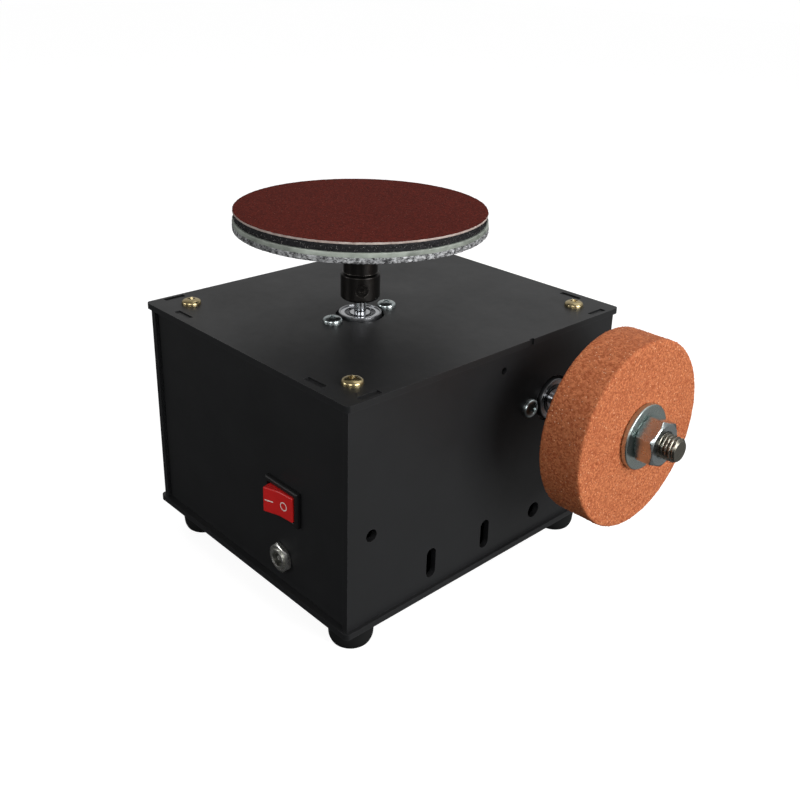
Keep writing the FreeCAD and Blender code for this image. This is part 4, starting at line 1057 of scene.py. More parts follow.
def named_vector(tree, name):
    """The vector that each point carries under that name."""
    return out(add(tree, "GeometryNodeInputNamedAttribute", {"data_type": "FLOAT_VECTOR"}, Name=name))


print("workbench ready")

# %% [markdown]
# ## Cross-head screws
# Twelve pan-head screws hold the case, the feet and the motors.  One tree builds a head from a
# squashed sphere, cuts a tapering cross into it, adds the shank, and sets a copy on each spot with
# its own turn, because nobody lines up screw slots.  The three kinds differ only in their sizes.

# %% The screw tree
screw_tree, given, result = start_tree("cross_head_screws", {
    "Head Radius": (LENGTH, 0.004), "Head Height": (LENGTH, 0.0024), "Shank Radius": (LENGTH, 0.002),
    "Shank Length": (LENGTH, 0.01), "Cross Width": (LENGTH, 0.0011), "Cross Span": (LENGTH, 0.0048),
    "Cross Depth": (LENGTH, 0.0016), "Seed": (WHOLE, 1), "Material": (MATERIAL, None)})
PAN_POWER = 0.55
CROSS_TAPER = 0.6
ball = out(add(screw_tree, "GeometryNodeMeshUVSphere", Segments=48, Rings=24, Radius=1.0), "Mesh")
here = add(screw_tree, "ShaderNodeSeparateXYZ", Vector=out(add(screw_tree, "GeometryNodeInputPosition")))
dome = calc(screw_tree, "POWER", calc(screw_tree, "MAXIMUM", here.outputs["Z"], 0.0), PAN_POWER)
head_point = vector(
    screw_tree,
    calc(screw_tree, "MULTIPLY", here.outputs["X"], given["Head Radius"]),
    calc(screw_tree, "MULTIPLY", here.outputs["Y"], given["Head Radius"]),
    calc(screw_tree, "MULTIPLY", dome, given["Head Height"]))
head = out(add(screw_tree, "GeometryNodeSetPosition", Geometry=ball, Position=head_point))


def cross_arm(tree, turn):
    """A tapering bar, sunk into the head from above: one arm of the cross."""
    block_height = calc(tree, "MULTIPLY", given["Cross Depth"], 2.0)
    block_size = vector(tree, given["Cross Span"], given["Cross Width"], block_height)
    block = out(add(tree, "GeometryNodeMeshCube", Size=block_size), "Mesh")
    place = add(tree, "ShaderNodeSeparateXYZ", Vector=out(add(tree, "GeometryNodeInputPosition")))
    lower = calc(tree, "LESS_THAN", place.outputs["Z"], 0.0)
    narrowing = calc(tree, "SUBTRACT", 1.0, calc(tree, "MULTIPLY", lower, CROSS_TAPER))
    tapered = vector(tree, calc(tree, "MULTIPLY", place.outputs["X"], narrowing), place.outputs["Y"],
                     place.outputs["Z"])
    bar = out(add(tree, "GeometryNodeSetPosition", Geometry=block, Position=tapered))
    lifted = vector(tree, z=given["Head Height"])
    return out(add(tree, "GeometryNodeTransform", Geometry=bar, Translation=lifted, Rotation=(0, 0, turn)))


CUT_AWAY = {"operation": "DIFFERENCE", "solver": "EXACT"}
cutters = add(screw_tree, "GeometryNodeMeshBoolean", CUT_AWAY, Mesh_1=head)
for turn in (0.0, math.pi / 2):
    screw_tree.links.new(cross_arm(screw_tree, turn), cutters.inputs["Mesh 2"])
shank = out(add(screw_tree, "GeometryNodeMeshCylinder", Vertices=24, Radius=given["Shank Radius"],
                Depth=given["Shank Length"]), "Mesh")
half_down = calc(screw_tree, "MULTIPLY", given["Shank Length"], -0.5)
hung = out(add(screw_tree, "GeometryNodeTransform", Geometry=shank,
               Translation=vector(screw_tree, z=half_down)))
turn_each = random_number(screw_tree, 0.0, 2 * math.pi, given["Seed"])
placed = out(add(screw_tree, "GeometryNodeInstanceOnPoints", Points=given["Geometry"],
                 Instance=join(screw_tree, out(cutters, "Mesh"), hung),
                 Rotation=facing_rotation(screw_tree, named_vector(screw_tree, "facing"), turn_each)))
end_tree(screw_tree, placed, given["Material"], result)
print("tree", screw_tree.name, "with", len(screw_tree.nodes), "nodes")

# %% [markdown]
# The corner screws share the posts' places, and the foot screws face down inside the feet's pockets.
# The motor screws sit on each side of a motor's boss, at a fixed spacing from its axis.

# %% Placing the screws
SCREW_SHARP = math.radians(40)
top_low, top_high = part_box("top_screws")
HEAD_R = 4 * MM
HEAD_H = 2.4 * MM
corner_places = [(x, y) for x in (top_low.x + HEAD_R, top_high.x - HEAD_R)
                 for y in (top_low.y + HEAD_R, top_high.y - HEAD_R)]
plate_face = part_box("top_plate")[1].z
corner_spots = spots([((x, y, plate_face), Z_AXIS) for x, y in corner_places])
corner_mesh = run_tree(screw_tree, corner_spots, "corner_screws_shape", Head_Radius=HEAD_R,
                       Head_Height=HEAD_H, Shank_Length=plate_face - top_low.z, Seed=3, Material=yellow_zinc)
seat("corner_screws", corner_mesh, "case", None, "top_screws", sharp=SCREW_SHARP)

foot_low, foot_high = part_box("foot_screws")
foot_face = foot_low.z + HEAD_H
foot_spots = spots([((x, y, foot_face), -Z_AXIS) for x, y in corner_places])
foot_mesh = run_tree(screw_tree, foot_spots, "foot_screws_shape", Head_Radius=HEAD_R, Head_Height=HEAD_H,
                     Shank_Length=foot_high.z - foot_face, Seed=8, Material=bright_zinc)
seat("foot_screws_cut", foot_mesh, "case", None, "foot_screws", sharp=SCREW_SHARP)
MOTOR_SHANK_R = 1.45 * MM
MOTOR_CROSS_WIDTH = 0.9 * MM
MOTOR_CROSS_DEPTH = 1.3 * MM
MOTOR_CROSS_SPAN = 1.25


def motor_screws(station, face, axis):
    """The two screws that hold a motor; axis points out of the case."""
    node = station + "_motor_screws"
    low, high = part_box(node)
    head_r = (high - low).z / 2 if station == "wheel" else (high - low).x / 2
    centre = middle(node)
    reach = (high - low).y / 2 - head_r
    on_face = Vector((face, centre.y, centre.z)) if station == "wheel" else Vector((centre.x, centre.y, face))
    top = (high - on_face).dot(axis)
    depth = (on_face - low).dot(axis)
    places = spots([(on_face + Y_AXIS * side * reach, axis) for side in (-1, 1)])
    mesh = run_tree(screw_tree, places, node + "_shape", Head_Radius=head_r, Head_Height=top,
                    Shank_Radius=MOTOR_SHANK_R, Shank_Length=depth, Cross_Width=MOTOR_CROSS_WIDTH,
                    Cross_Span=head_r * MOTOR_CROSS_SPAN, Cross_Depth=MOTOR_CROSS_DEPTH, Seed=5,
                    Material=bright_zinc)
    print(node, "head radius", round(head_r / MM, 2), "height", round(top / MM, 2))
    return seat(node + "_cut", mesh, "case", None, node, sharp=SCREW_SHARP)


motor_screws("disc", plate_face, Z_AXIS)
motor_screws("wheel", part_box("right_panel")[1].x, X_AXIS)

# %% [markdown]
# ## Socket grub screws
# Each coupling is held on its motor shaft by two headless screws with a hexagon socket.  The tree is
# a cylinder less a six-sided prism, set in pairs that face away from the shaft.

# %% The grub screw tree
grub_tree, given, result = start_tree("socket_grub_screws", {
    "Radius": (LENGTH, 0.0025), "Length": (LENGTH, 0.005), "Socket Radius": (LENGTH, 0.0014),
    "Socket Depth": (LENGTH, 0.002), "Seed": (WHOLE, 1), "Material": (MATERIAL, None)})
barrel = out(add(grub_tree, "GeometryNodeMeshCylinder", Vertices=40, Radius=given["Radius"],
                 Depth=given["Length"]), "Mesh")
sunk = out(add(grub_tree, "GeometryNodeTransform", Geometry=barrel,
               Translation=vector(grub_tree, z=calc(grub_tree, "MULTIPLY", given["Length"], -0.5))))
prism = out(add(grub_tree, "GeometryNodeMeshCylinder", Vertices=6, Radius=given["Socket Radius"],
                Depth=calc(grub_tree, "MULTIPLY", given["Socket Depth"], 2.0)), "Mesh")
socketed = add(grub_tree, "GeometryNodeMeshBoolean", CUT_AWAY, Mesh_1=sunk)
grub_tree.links.new(prism, socketed.inputs["Mesh 2"])
placed = out(add(grub_tree, "GeometryNodeInstanceOnPoints", Points=given["Geometry"],
                 Instance=out(socketed, "Mesh"),
                 Rotation=facing_rotation(grub_tree, named_vector(grub_tree, "facing"),
                                          random_number(grub_tree, 0.0, math.pi, given["Seed"]))))
end_tree(grub_tree, placed, given["Material"], result)

GRUB_REACH = 7.7 * MM
GRUB_LENGTH = 4.6 * MM
GRUB_SOCKET_R = 1.45 * MM
GRUB_SHARP = math.radians(25)


def grub_pair(node, axis_point, axis, across, material, seed):
    """Two grub screws that face away from each other; across is the direction of one of them."""
    on_axis = axis_point + axis * (middle(node) - axis_point).dot(axis)
    places = spots([(on_axis + across * sign * GRUB_REACH, across * sign) for sign in (-1, 1)])
    mesh = run_tree(grub_tree, places, node + "_shape", Radius=size(node).dot(axis) / 2, Length=GRUB_LENGTH,
                    Socket_Radius=GRUB_SOCKET_R, Seed=seed, Material=material)
    return seat(node + "_cut", mesh, body_of(node), None, node, sharp=GRUB_SHARP)


GRUB_ANGLE = math.radians(-36)
WHEEL_GRUB_ANGLE = math.radians(54)
disc_across = Vector((math.cos(GRUB_ANGLE), math.sin(GRUB_ANGLE), 0))
wheel_across = Vector((0, math.cos(WHEEL_GRUB_ANGLE), -math.sin(WHEEL_GRUB_ANGLE)))
disc_grubs = grub_pair("disc_coupling_screws", DISC_AXIS, Z_AXIS, disc_across, black_steel["disc"], 2)
wheel_grubs = grub_pair("wheel_arbor_screws", WHEEL_AXIS, X_AXIS, wheel_across, black_steel["wheel"], 4)
print("grub screws:", disc_grubs.name, wheel_grubs.name)

# %% [markdown]
# ## Screw threads
# The wheel is clamped by a nut on a threaded stud.  A thread follows a rule: the surface dips once
# for each pitch, and the dip moves along by one pitch for each turn.  The tree bends a flat grid
# into a tube by that rule, tapers both ends for the chamfer, and closes them.

# %% The thread tree
thread_tree, given, result = start_tree("rolled_thread", {
    "Radius": (LENGTH, 0.005), "Length": (LENGTH, 0.02), "Pitch": (LENGTH, 0.0015), "Depth": (LENGTH, 0.0009),
    "Chamfer": (LENGTH, 0.001), "Columns": (WHOLE, 48), "Rows": (WHOLE, 200), "Material": (MATERIAL, None)})
plain = out(add(thread_tree, "GeometryNodeMeshGrid", Size_X=1.0, Size_Y=1.0, Vertices_X=given["Columns"],
                Vertices_Y=given["Rows"]), "Mesh")
here = add(thread_tree, "ShaderNodeSeparateXYZ", Vector=out(add(thread_tree, "GeometryNodeInputPosition")))
angle = calc(thread_tree, "MULTIPLY", calc(thread_tree, "ADD", here.outputs["X"], 0.5), 2 * math.pi)
# The first and last rows close the ends: they have no radius, and share their neighbours' height.
END_MARGIN = 0.01
TUBE_END = 0.4999
FLANK_FROM = 0.06
FLANK_TO = 0.4
spread = ranged(thread_tree, here.outputs["Y"], -0.5 + END_MARGIN, 0.5 - END_MARGIN)
height = calc(thread_tree, "MULTIPLY", spread, given["Length"])
closed = calc(thread_tree, "LESS_THAN", calc(thread_tree, "ABSOLUTE", here.outputs["Y"]), TUBE_END)
turns = calc(thread_tree, "SUBTRACT", calc(thread_tree, "DIVIDE", height, given["Pitch"]),
             calc(thread_tree, "ADD", here.outputs["X"], 0.5))
wave = calc(thread_tree, "PINGPONG", turns, 0.5)
flank = ranged(thread_tree, wave, FLANK_FROM, FLANK_TO)
dip = calc(thread_tree, "MULTIPLY", flank, given["Depth"])
crest = calc(thread_tree, "SUBTRACT", given["Radius"], dip)
to_end = calc(thread_tree, "MINIMUM", height, calc(thread_tree, "SUBTRACT", given["Length"], height))
taper = calc(thread_tree, "ADD", calc(thread_tree, "SUBTRACT", given["Radius"], given["Chamfer"]), to_end)
radius = calc(thread_tree, "MULTIPLY", calc(thread_tree, "MINIMUM", crest, taper), closed)
bent = vector(thread_tree, calc(thread_tree, "MULTIPLY", radius, calc(thread_tree, "COSINE", angle)),
              calc(thread_tree, "MULTIPLY", radius, calc(thread_tree, "SINE", angle)), height)
tube = out(add(thread_tree, "GeometryNodeSetPosition", Geometry=plain, Position=bent))
sealed = out(add(thread_tree, "GeometryNodeMergeByDistance", Geometry=tube, Distance=0.002 * MM))
aimed = out(add(thread_tree, "GeometryNodeInstanceOnPoints", Points=given["Geometry"], Instance=sealed,
                Rotation=facing_rotation(thread_tree, named_vector(thread_tree, "facing"), 0.0)))
end_tree(thread_tree, aimed, given["Material"], result)


def outward(mesh):
    """Merges a mesh's doubles and points its faces outwards."""
    bm = bmesh.new()
    bm.from_mesh(mesh)
    bmesh.ops.remove_doubles(bm, verts=bm.verts, dist=0.002 * MM)
    bmesh.ops.recalc_face_normals(bm, faces=bm.faces)
    bm.to_mesh(mesh)
    bm.free()
    return mesh


STUD_R = 5 * MM
STUD_PITCH = 1.5 * MM
STUD_DEPTH = 0.85 * MM
ROWS_PER_TURN = 10
stud_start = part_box("inner_washer")[0].x
stud_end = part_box("wheel_arbor")[1].x
stud_length = stud_end - stud_start
stud_spot = spots([((stud_start, WHEEL_AXIS.y, WHEEL_AXIS.z), X_AXIS)])
stud_mesh = outward(run_tree(
    thread_tree, stud_spot, "arbor_stud_shape", Radius=STUD_R, Length=stud_length, Pitch=STUD_PITCH,
    Depth=STUD_DEPTH, Columns=65, Rows=round(stud_length / STUD_PITCH * ROWS_PER_TURN), Material=stud_steel))
seat("arbor_stud", stud_mesh, "wheel_spindle", None)
print("stud", round(stud_length / MM, 1), "mm long,", len(stud_mesh.polygons), "faces")

# %% [markdown]
# The stud grows out of the arbor's turned body.  The model holds both as one node, so the body is a
# softened copy with its stud cut off where the thread takes over.

# %% Arbor body
STUD_OVERLAP = 0.3 * MM
arbor = merged_copy("wheel_arbor")
cut = bmesh.ops.bisect_plane(arbor, geom=arbor.verts[:] + arbor.edges[:] + arbor.faces[:],
                             plane_co=(stud_start + STUD_OVERLAP, 0, 0), plane_no=X_AXIS, clear_outer=True)
rim = [element for element in cut["geom_cut"] if isinstance(element, bmesh.types.BMEdge)]
bmesh.ops.contextual_create(arbor, geom=rim)
softened("wheel_arbor", black_steel["wheel"], 0.3, segments=3, bm=arbor)

# %% [markdown]
# ## The stone wheel
# The wheel is grains of corundum baked in a clay bond.  The body is swept with short runs, so its
# surface can be roughened point by point, and its two outer edges are slightly worn round.  Then a
# tree scatters small crystals over it, which stand a little proud and catch the light.

# %% Roughening
def roughened(bm, depth_mm, cell_mm, seed):
    """Moves each point inwards by up to depth along its normal, by a noise with cells of that size."""
    bm.normal_update()
    for vert in bm.verts:
        spot = vert.co / (cell_mm * MM) + Vector((seed, seed * 2, seed * 3))
        level = 0.5 + 0.5 * mathutils_noise.noise(spot)
        vert.co -= vert.normal * depth_mm * MM * level
    return bm


WHEEL_BORE = 5.3
WHEEL_WORN = 1.3
WHEEL_BORE_EDGE = 0.3
wheel_radius = size("grinding_wheel").z / 2 / MM
wheel_start = (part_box("grinding_wheel")[0].x - WHEEL_AXIS.x) / MM
wheel_width = size("grinding_wheel").x / MM
wheel_end = wheel_start + wheel_width
wheel_profile = [(WHEEL_BORE, wheel_start, WHEEL_BORE_EDGE), (wheel_radius, wheel_start, WHEEL_WORN),
                 (wheel_radius, wheel_end, WHEEL_WORN), (WHEEL_BORE, wheel_end, WHEEL_BORE_EDGE)]
wheel_bm = swept(wheel_profile, WHEEL_AXIS, X_AXIS, around=300, longest=0.9)
bmesh.ops.recalc_face_normals(wheel_bm, faces=wheel_bm.faces)
wheel_body = to_mesh(roughened(wheel_bm, 0.28, 0.8, 1), "wheel_body")
print("wheel radius", wheel_radius, "width", round(wheel_width, 1), "faces", len(wheel_body.polygons))

# %% [markdown]
# The scatter tree takes any surface and keeps it, adding one small rough crystal for each random
# point.  A crystal is an icosahedron squashed by its own random amounts.

# %% The grain tree
grain_tree, given, result = start_tree("scattered_grains", {
    "Density": (LENGTH, 100000.0), "Grain Radius": (LENGTH, 0.0002), "Seed": (WHOLE, 1),
    "Material": (MATERIAL, None)})
scattered = add(grain_tree, "GeometryNodeDistributePointsOnFaces", {"distribute_method": "RANDOM"},
                Mesh=given["Geometry"], Density=given["Density"], Seed=given["Seed"])
crystal = out(add(grain_tree, "GeometryNodeMeshIcoSphere", Radius=given["Grain Radius"], Subdivisions=1),
              "Mesh")
squashed = out(add(grain_tree, "FunctionNodeRandomValue", {"data_type": "FLOAT_VECTOR"},
                   Min=(0.45, 0.45, 0.3), Max=(1.3, 1.0, 0.6), Seed=given["Seed"]))
spin = random_number(grain_tree, 0.0, 2 * math.pi, given["Seed"])
grains = out(add(grain_tree, "GeometryNodeInstanceOnPoints", Points=out(scattered, "Points"),
                 Instance=crystal, Scale=squashed,
                 Rotation=facing_rotation(grain_tree, out(scattered, "Normal"), spin)))
# Inside this tree the crystals are made real before they join the surface, which is real already.
real_grains = out(add(grain_tree, "GeometryNodeRealizeInstances", Geometry=grains))
end_tree(grain_tree, join(grain_tree, given["Geometry"], real_grains), given["Material"], result)


def mesh_area(mesh):
    """The area of a mesh, to turn a count of grains into a density."""
    return sum(polygon.area for polygon in mesh.polygons)


WHEEL_GRAINS = 5200
WHEEL_GRAIN_R = 0.36 * MM
wheel_mesh = run_tree(grain_tree, wheel_body, "grinding_wheel_shape",
                      Density=WHEEL_GRAINS / mesh_area(wheel_body), Grain_Radius=WHEEL_GRAIN_R, Seed=11,
                      Material=wheel_orange)
seat("stone_wheel", wheel_mesh, "wheel_spindle", None, "grinding_wheel", sharp=math.radians(50))
print("stone wheel:", len(wheel_mesh.polygons), "faces")

# %% [markdown]
# ## The disc sandwich
# From the top down: the abrasive sheet on its paper, the hook pad, a plate, and a board with a rough
# sawn edge.  All are swept rings closed at the axis.  Each layer is a little out of true, so the
# stack's edge looks assembled and not drawn.

# %% Disc layers
ROUGH_BAND = 2.5
LAYER_BORE = 0.02


def layer(node, material, rounding, depth_mm, cell_mm, seed, around, longest):
    """One ring of the stack, from its model node, with a rim roughened by depth_mm in cells of cell_mm."""
    low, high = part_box(node)
    radius = size(node).x / 2 / MM
    bottom = (low.z - DISC_AXIS.z) / MM
    top = (high.z - DISC_AXIS.z) / MM
    # Only the outer band is divided finely: a rim can be rough while the flats stay flat.
    band = radius - ROUGH_BAND
    profile = [(LAYER_BORE, bottom, 0), (band, bottom, 0), (radius, bottom, rounding),
               (radius, top, rounding), (band, top, 0), (LAYER_BORE, top, 0)]
    path_bm = swept(profile, DISC_AXIS, Z_AXIS, around=around, longest=longest, steps=3)
    bmesh.ops.recalc_face_normals(path_bm, faces=path_bm.faces)
    path_bm.normal_update()
    for vert in path_bm.verts:
        flat = Vector((vert.co.x - DISC_AXIS.x, vert.co.y - DISC_AXIS.y, 0))
        if flat.length / MM > band + 0.1:
            spot = vert.co / (cell_mm * MM) + Vector((seed, seed, seed))
            level = 0.5 + 0.5 * mathutils_noise.noise(spot)
            vert.co -= flat.normalized() * depth_mm * MM * level
    mesh = to_mesh(path_bm, node + "_shape")
    print(node, "radius", round(radius, 2), "from", round(low.z / MM, 2), "to", round(high.z / MM, 2),
          len(mesh.polygons), "faces")
    return seat(node + "_layer", mesh, "disc_spindle", material, node)


layer("backing_board", board_pale, 0.25, 0.7, 0.55, 3, around=420, longest=0.45)
layer("backing_plate", plate_pale, 0.3, 0.4, 1.8, 7, around=300, longest=0.9)
layer("hook_pad", hook_black, 0.3, 0.9, 0.8, 12, around=360, longest=0.6)

# %% [markdown]
# The abrasive sheet needs two materials: the grit on top, and the pale torn edge of its paper.  The
# faces of the wall and the underside take the paper.

# %% Abrasive sheet
abrasive_piece = layer("abrasive_disc", abrasive, 0.08, 0.55, 1.1, 21, around=360, longest=0.9)
abrasive_piece.data.materials.append(paper_pale)
GRIT_SIDE = 0
PAPER_SIDE = 1
FACING_UP = 0.75
for polygon in abrasive_piece.data.polygons:
    polygon.material_index = GRIT_SIDE if polygon.normal.z > FACING_UP else PAPER_SIDE
print("paper faces:", sum(polygon.material_index for polygon in abrasive_piece.data.polygons))

# %% [markdown]
# The pad's edge is a fringe of short bent fibres.  A tree scatters them over a band that runs round
# the pad: each is a three-sided tube along a small curve, leaning its own way.  A few faces each are
# enough, because there are thousands.

# %% The fibre tree
fibre_tree, given, result = start_tree("pile_fibres", {
    "Density": (LENGTH, 1e6), "Fibre Length": (LENGTH, 0.0008), "Fibre Radius": (LENGTH, 0.00005),
    "Seed": (WHOLE, 1), "Material": (MATERIAL, None)})
scattered = add(fibre_tree, "GeometryNodeDistributePointsOnFaces", {"distribute_method": "RANDOM"},
                Mesh=given["Geometry"], Density=given["Density"], Seed=given["Seed"])
length = given["Fibre Length"]
FIBRE_LEAN = 0.8
FIBRE_RISE = 0.9
bend = vector(fibre_tree, z=length)
lean = calc(fibre_tree, "MULTIPLY", length, FIBRE_LEAN)
tip = vector(fibre_tree, lean, 0.0, calc(fibre_tree, "MULTIPLY", length, FIBRE_RISE))
curve = out(add(fibre_tree, "GeometryNodeCurveQuadraticBezier", Resolution=3, Start=(0, 0, 0), Middle=bend,
                End=tip))
section = out(add(fibre_tree, "GeometryNodeCurvePrimitiveCircle", Resolution=3,
                  Radius=given["Fibre Radius"]), "Curve")
fibre = out(add(fibre_tree, "GeometryNodeCurveToMesh", Curve=curve, Profile_Curve=section, Fill_Caps=True))
fibres = out(add(fibre_tree, "GeometryNodeInstanceOnPoints", Points=out(scattered, "Points"), Instance=fibre,
                 Rotation=facing_rotation(fibre_tree, out(scattered, "Normal"),
                                          random_number(fibre_tree, 0.0, 2 * math.pi, given["Seed"])),
                 Scale=random_number(fibre_tree, 0.4, 1.0, given["Seed"])))
end_tree(fibre_tree, fibres, given["Material"], result)


def edge_band(node, inset_mm, margin_mm):
    """An open band round a layer's edge, a little inside it, for fibres to stand on."""
    low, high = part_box(node)
    radius = size(node).x / 2 - inset_mm * MM
    rows = (low.z + margin_mm * MM, high.z - margin_mm * MM)
    steps = 180
    angles = [2 * math.pi * i / steps for i in range(steps)]
    bm = bmesh.new()
    rings = [[bm.verts.new((DISC_AXIS.x + radius * math.cos(angle),
                            DISC_AXIS.y + radius * math.sin(angle), z)) for angle in angles] for z in rows]
    for i in range(steps):
        j = (i + 1) % steps
        bm.faces.new((rings[0][i], rings[0][j], rings[1][j], rings[1][i]))
    mesh = bpy.data.meshes.new(node + "_band")
    bm.to_mesh(mesh)
    bm.free()
    return mesh


FIBRE_COUNT = 2600
PALE_SHARE = 0.22
PAD_BAND_INSET = 0.75
PAD_BAND_MARGIN = 0.55


def fibre_fringe(name, count, length_mm, radius_mm, seed, material):
    """Fibres round the pad's edge as one piece on the disc's body."""
    band = edge_band("hook_pad", PAD_BAND_INSET, PAD_BAND_MARGIN)
    mesh = run_tree(fibre_tree, band, name + "_shape", Density=count / mesh_area(band),
                    Fibre_Length=length_mm * MM, Fibre_Radius=radius_mm * MM, Seed=seed, Material=material)
    seat(name, mesh, "disc_spindle", None)
    return mesh


dark_fibres = fibre_fringe("pad_pile", FIBRE_COUNT, 0.75, 0.07, 5, hook_black)
pale_fibres = fibre_fringe("pad_lint", FIBRE_COUNT * PALE_SHARE, 0.8, 0.06, 9, fibre_pale)
print("fibres:", len(dark_fibres.polygons), "dark faces,", len(pale_fibres.polygons), "pale faces")

# %% [markdown]
# ## Rubber feet
# Four turned rubber feet carry the case.  The foot is swept once: a wide top under the case, a waist
# line, a rounded tread, and the pocket for its screw.  A small tree then copies it to the four
# corners, each with its own turn.

# %% Feet
FOOT_TOP_R = 9.5
FOOT_TREAD_R = 8.3
FOOT_POCKET_R = 4.7
FOOT_POCKET = 5.0
FOOT_HOLE_R = 2.1
FOOT_BAND = 1.6
FOOT_WAIST = 2.0
FOOT_TREAD_H = 2.6
FOOT_DISH = 0.35
foot_height = size("rubber_feet").z / MM
foot_profile = [
    (FOOT_HOLE_R, foot_height, 0), (FOOT_TOP_R, foot_height, 0.4),
    (FOOT_TOP_R, foot_height - FOOT_BAND, 0.3), (FOOT_TOP_R - 0.25, foot_height - FOOT_WAIST, 0.15),
    (FOOT_TREAD_R + 0.25, FOOT_TREAD_H, 0.8), (FOOT_TREAD_R - 0.9, 0, 1.2), (FOOT_TREAD_R - 2.2, 0, 0.3),
    (FOOT_TREAD_R - 2.5, FOOT_DISH, 0.2), (FOOT_POCKET_R + 0.3, FOOT_DISH, 0.2),
    (FOOT_POCKET_R, 0.9, 0.2), (FOOT_POCKET_R, FOOT_POCKET, 0), (FOOT_HOLE_R, FOOT_POCKET, 0)]
foot_bm = swept(foot_profile, Vector((0, 0, 0)), Z_AXIS, around=72)
foot_pattern = bpy.data.objects.new("foot_pattern", to_mesh(foot_bm, "foot_pattern_shape"))

copy_tree, given, result = start_tree("turned_copies", {
    "Pattern": ("NodeSocketObject", None), "Most Turn": (LENGTH, 6.28), "Seed": (WHOLE, 1),
    "Material": (MATERIAL, None)})
pattern = add(copy_tree, "GeometryNodeObjectInfo", Object=given["Pattern"], As_Instance=True)
turn_each = random_number(copy_tree, 0.0, given["Most Turn"], given["Seed"])
copies = out(add(copy_tree, "GeometryNodeInstanceOnPoints", Points=given["Geometry"],
                 Instance=pattern.outputs["Geometry"],
                 Rotation=facing_rotation(copy_tree, named_vector(copy_tree, "facing"), turn_each)))
end_tree(copy_tree, copies, given["Material"], result)

foot_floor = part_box("rubber_feet")[0].z
foot_places = spots([((x, y, foot_floor), Z_AXIS) for x, y in corner_places])
feet_mesh = run_tree(copy_tree, foot_places, "rubber_feet_shape", Pattern=foot_pattern, Seed=6,
                     Material=rubber)
seat("rubber_feet_turned", feet_mesh, "case", None, "rubber_feet", sharp=math.radians(40))
bpy.data.objects.remove(foot_pattern)
print("feet:", len(feet_mesh.polygons), "faces, height", foot_height)

# %% [markdown]
# ## The rocker and its marks
# The rocker is one glossy moulding with generous corner radii.  Its marks are white: a bar for on
# and a ring for off.  Each mark is drawn flat, and its points are then dropped onto the rocker's
# face by a ray, so that the mark follows the tilt and sits a hair above the plastic.

# %% Rocker
rocker = softened("switch_rocker", rocker_red, 0.55, segments=4)
rocker_tree = BVHTree.FromObject(rocker, bpy.context.evaluated_depsgraph_get())
MARK_PROUD = 0.03 * MM
MARK_SUNK = 0.05 * MM
RAY_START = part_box("switch_rocker")[0].y - 5 * MM


def on_rocker(x, z, lift):
    """The point of the rocker's face at x and z, moved along Y by lift."""
    return (x, rocker_tree.ray_cast(Vector((x, RAY_START, z)), Y_AXIS)[0].y + lift, z)


def mark(name, outlines):
    """A closed thin solid on the rocker's face between two outlines of (x, z) points, outer and inner."""
    bm = bmesh.new()
    layers = [[[bm.verts.new(on_rocker(x, z, lift)) for x, z in outline] for outline in outlines]
              for lift in (-MARK_PROUD, MARK_SUNK)]
    count = len(outlines[0])
    for i in range(count):
        j = (i + 1) % count
        for rows in layers:
            bm.faces.new((rows[0][i], rows[0][j], rows[1][j], rows[1][i]))
        for edge in (0, 1):
            bm.faces.new((layers[0][edge][i], layers[0][edge][j], layers[1][edge][j], layers[1][edge][i]))
    mesh = to_mesh(bm, name + "_shape")
    return seat(name, mesh, "rocker", mark_white, sharp=math.radians(60))


rocker_middle = middle("switch_housing")
RING_OUTER = 1.8 * MM
RING_LINE = 0.4 * MM
RING_SHIFT = 3.4 * MM
BAR_HALF = 1.8 * MM
BAR_LINE = 0.22 * MM
BAR_SEAM = 0.1
RING_STEPS = 40


def outline(centre_x, half_length, radius):
    """A circle of that radius, or the bar it leaves when its halves are pulled apart to half_length."""
    points = []
    for i in range(RING_STEPS):
        angle = 2 * math.pi * i / RING_STEPS
        side = half_length - radius if math.cos(angle) > 0 else radius - half_length
        points.append((centre_x + side + radius * math.cos(angle),
                       rocker_middle.z + radius * math.sin(angle)))
    return points


off_x = rocker_middle.x + RING_SHIFT
on_x = rocker_middle.x - RING_SHIFT
ring_inner = RING_OUTER - RING_LINE
mark("mark_off", [outline(off_x, RING_OUTER, RING_OUTER), outline(off_x, ring_inner, ring_inner)])
mark("mark_on", [outline(on_x, BAR_HALF, BAR_LINE),
                 outline(on_x, BAR_HALF - BAR_LINE * (1 - BAR_SEAM), BAR_LINE * BAR_SEAM)])
print("rocker middle", rocker_middle)

# %% [markdown]
# ## Parts kept from the model
# The bearings, shafts, windings, brushes, blades and leads have the right shape already.  They keep
# their meshes and get their finishes, one slot at a time.

# %% Dressing the kept parts
def dress(node, material):
    """Gives a kept node one finish in all its slots."""
    holder = frame["nodes"][node]
    if not holder.material_slots:
        holder.data.materials.append(material)
    for entry in holder.material_slots:
        entry.material = material


for station in ("disc", "wheel"):
    prefix = station + "_motor_"
    for part, material in {
        "end_cap": motor_plastic, "magnets": magnet, "bearing_outers": bearing_steel[station],
        "bearing_inners": bearing_steel[station], "bearing_balls": bearing_steel[station],
        "brushes": carbon, "terminals": terminal_brass, "shaft": bearing_steel[station],
        "core": motor_steel[station], "windings": copper, "commutator": copper,
    }.items():
        dress(prefix + part, material)
for node, material in {
    "switch_terminals": terminal_brass, "jack_pin": nickel, "jack_tags": terminal_brass,
    "switch_wires": wire_red, "return_wires": wire_black,
}.items():
    dress(node, material)
replaced = {name for o in bpy.data.objects for name in o.get("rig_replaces", [])}
kept = sorted(set(frame["nodes"]) - replaced)
print(len(kept), "kept parts:", kept)

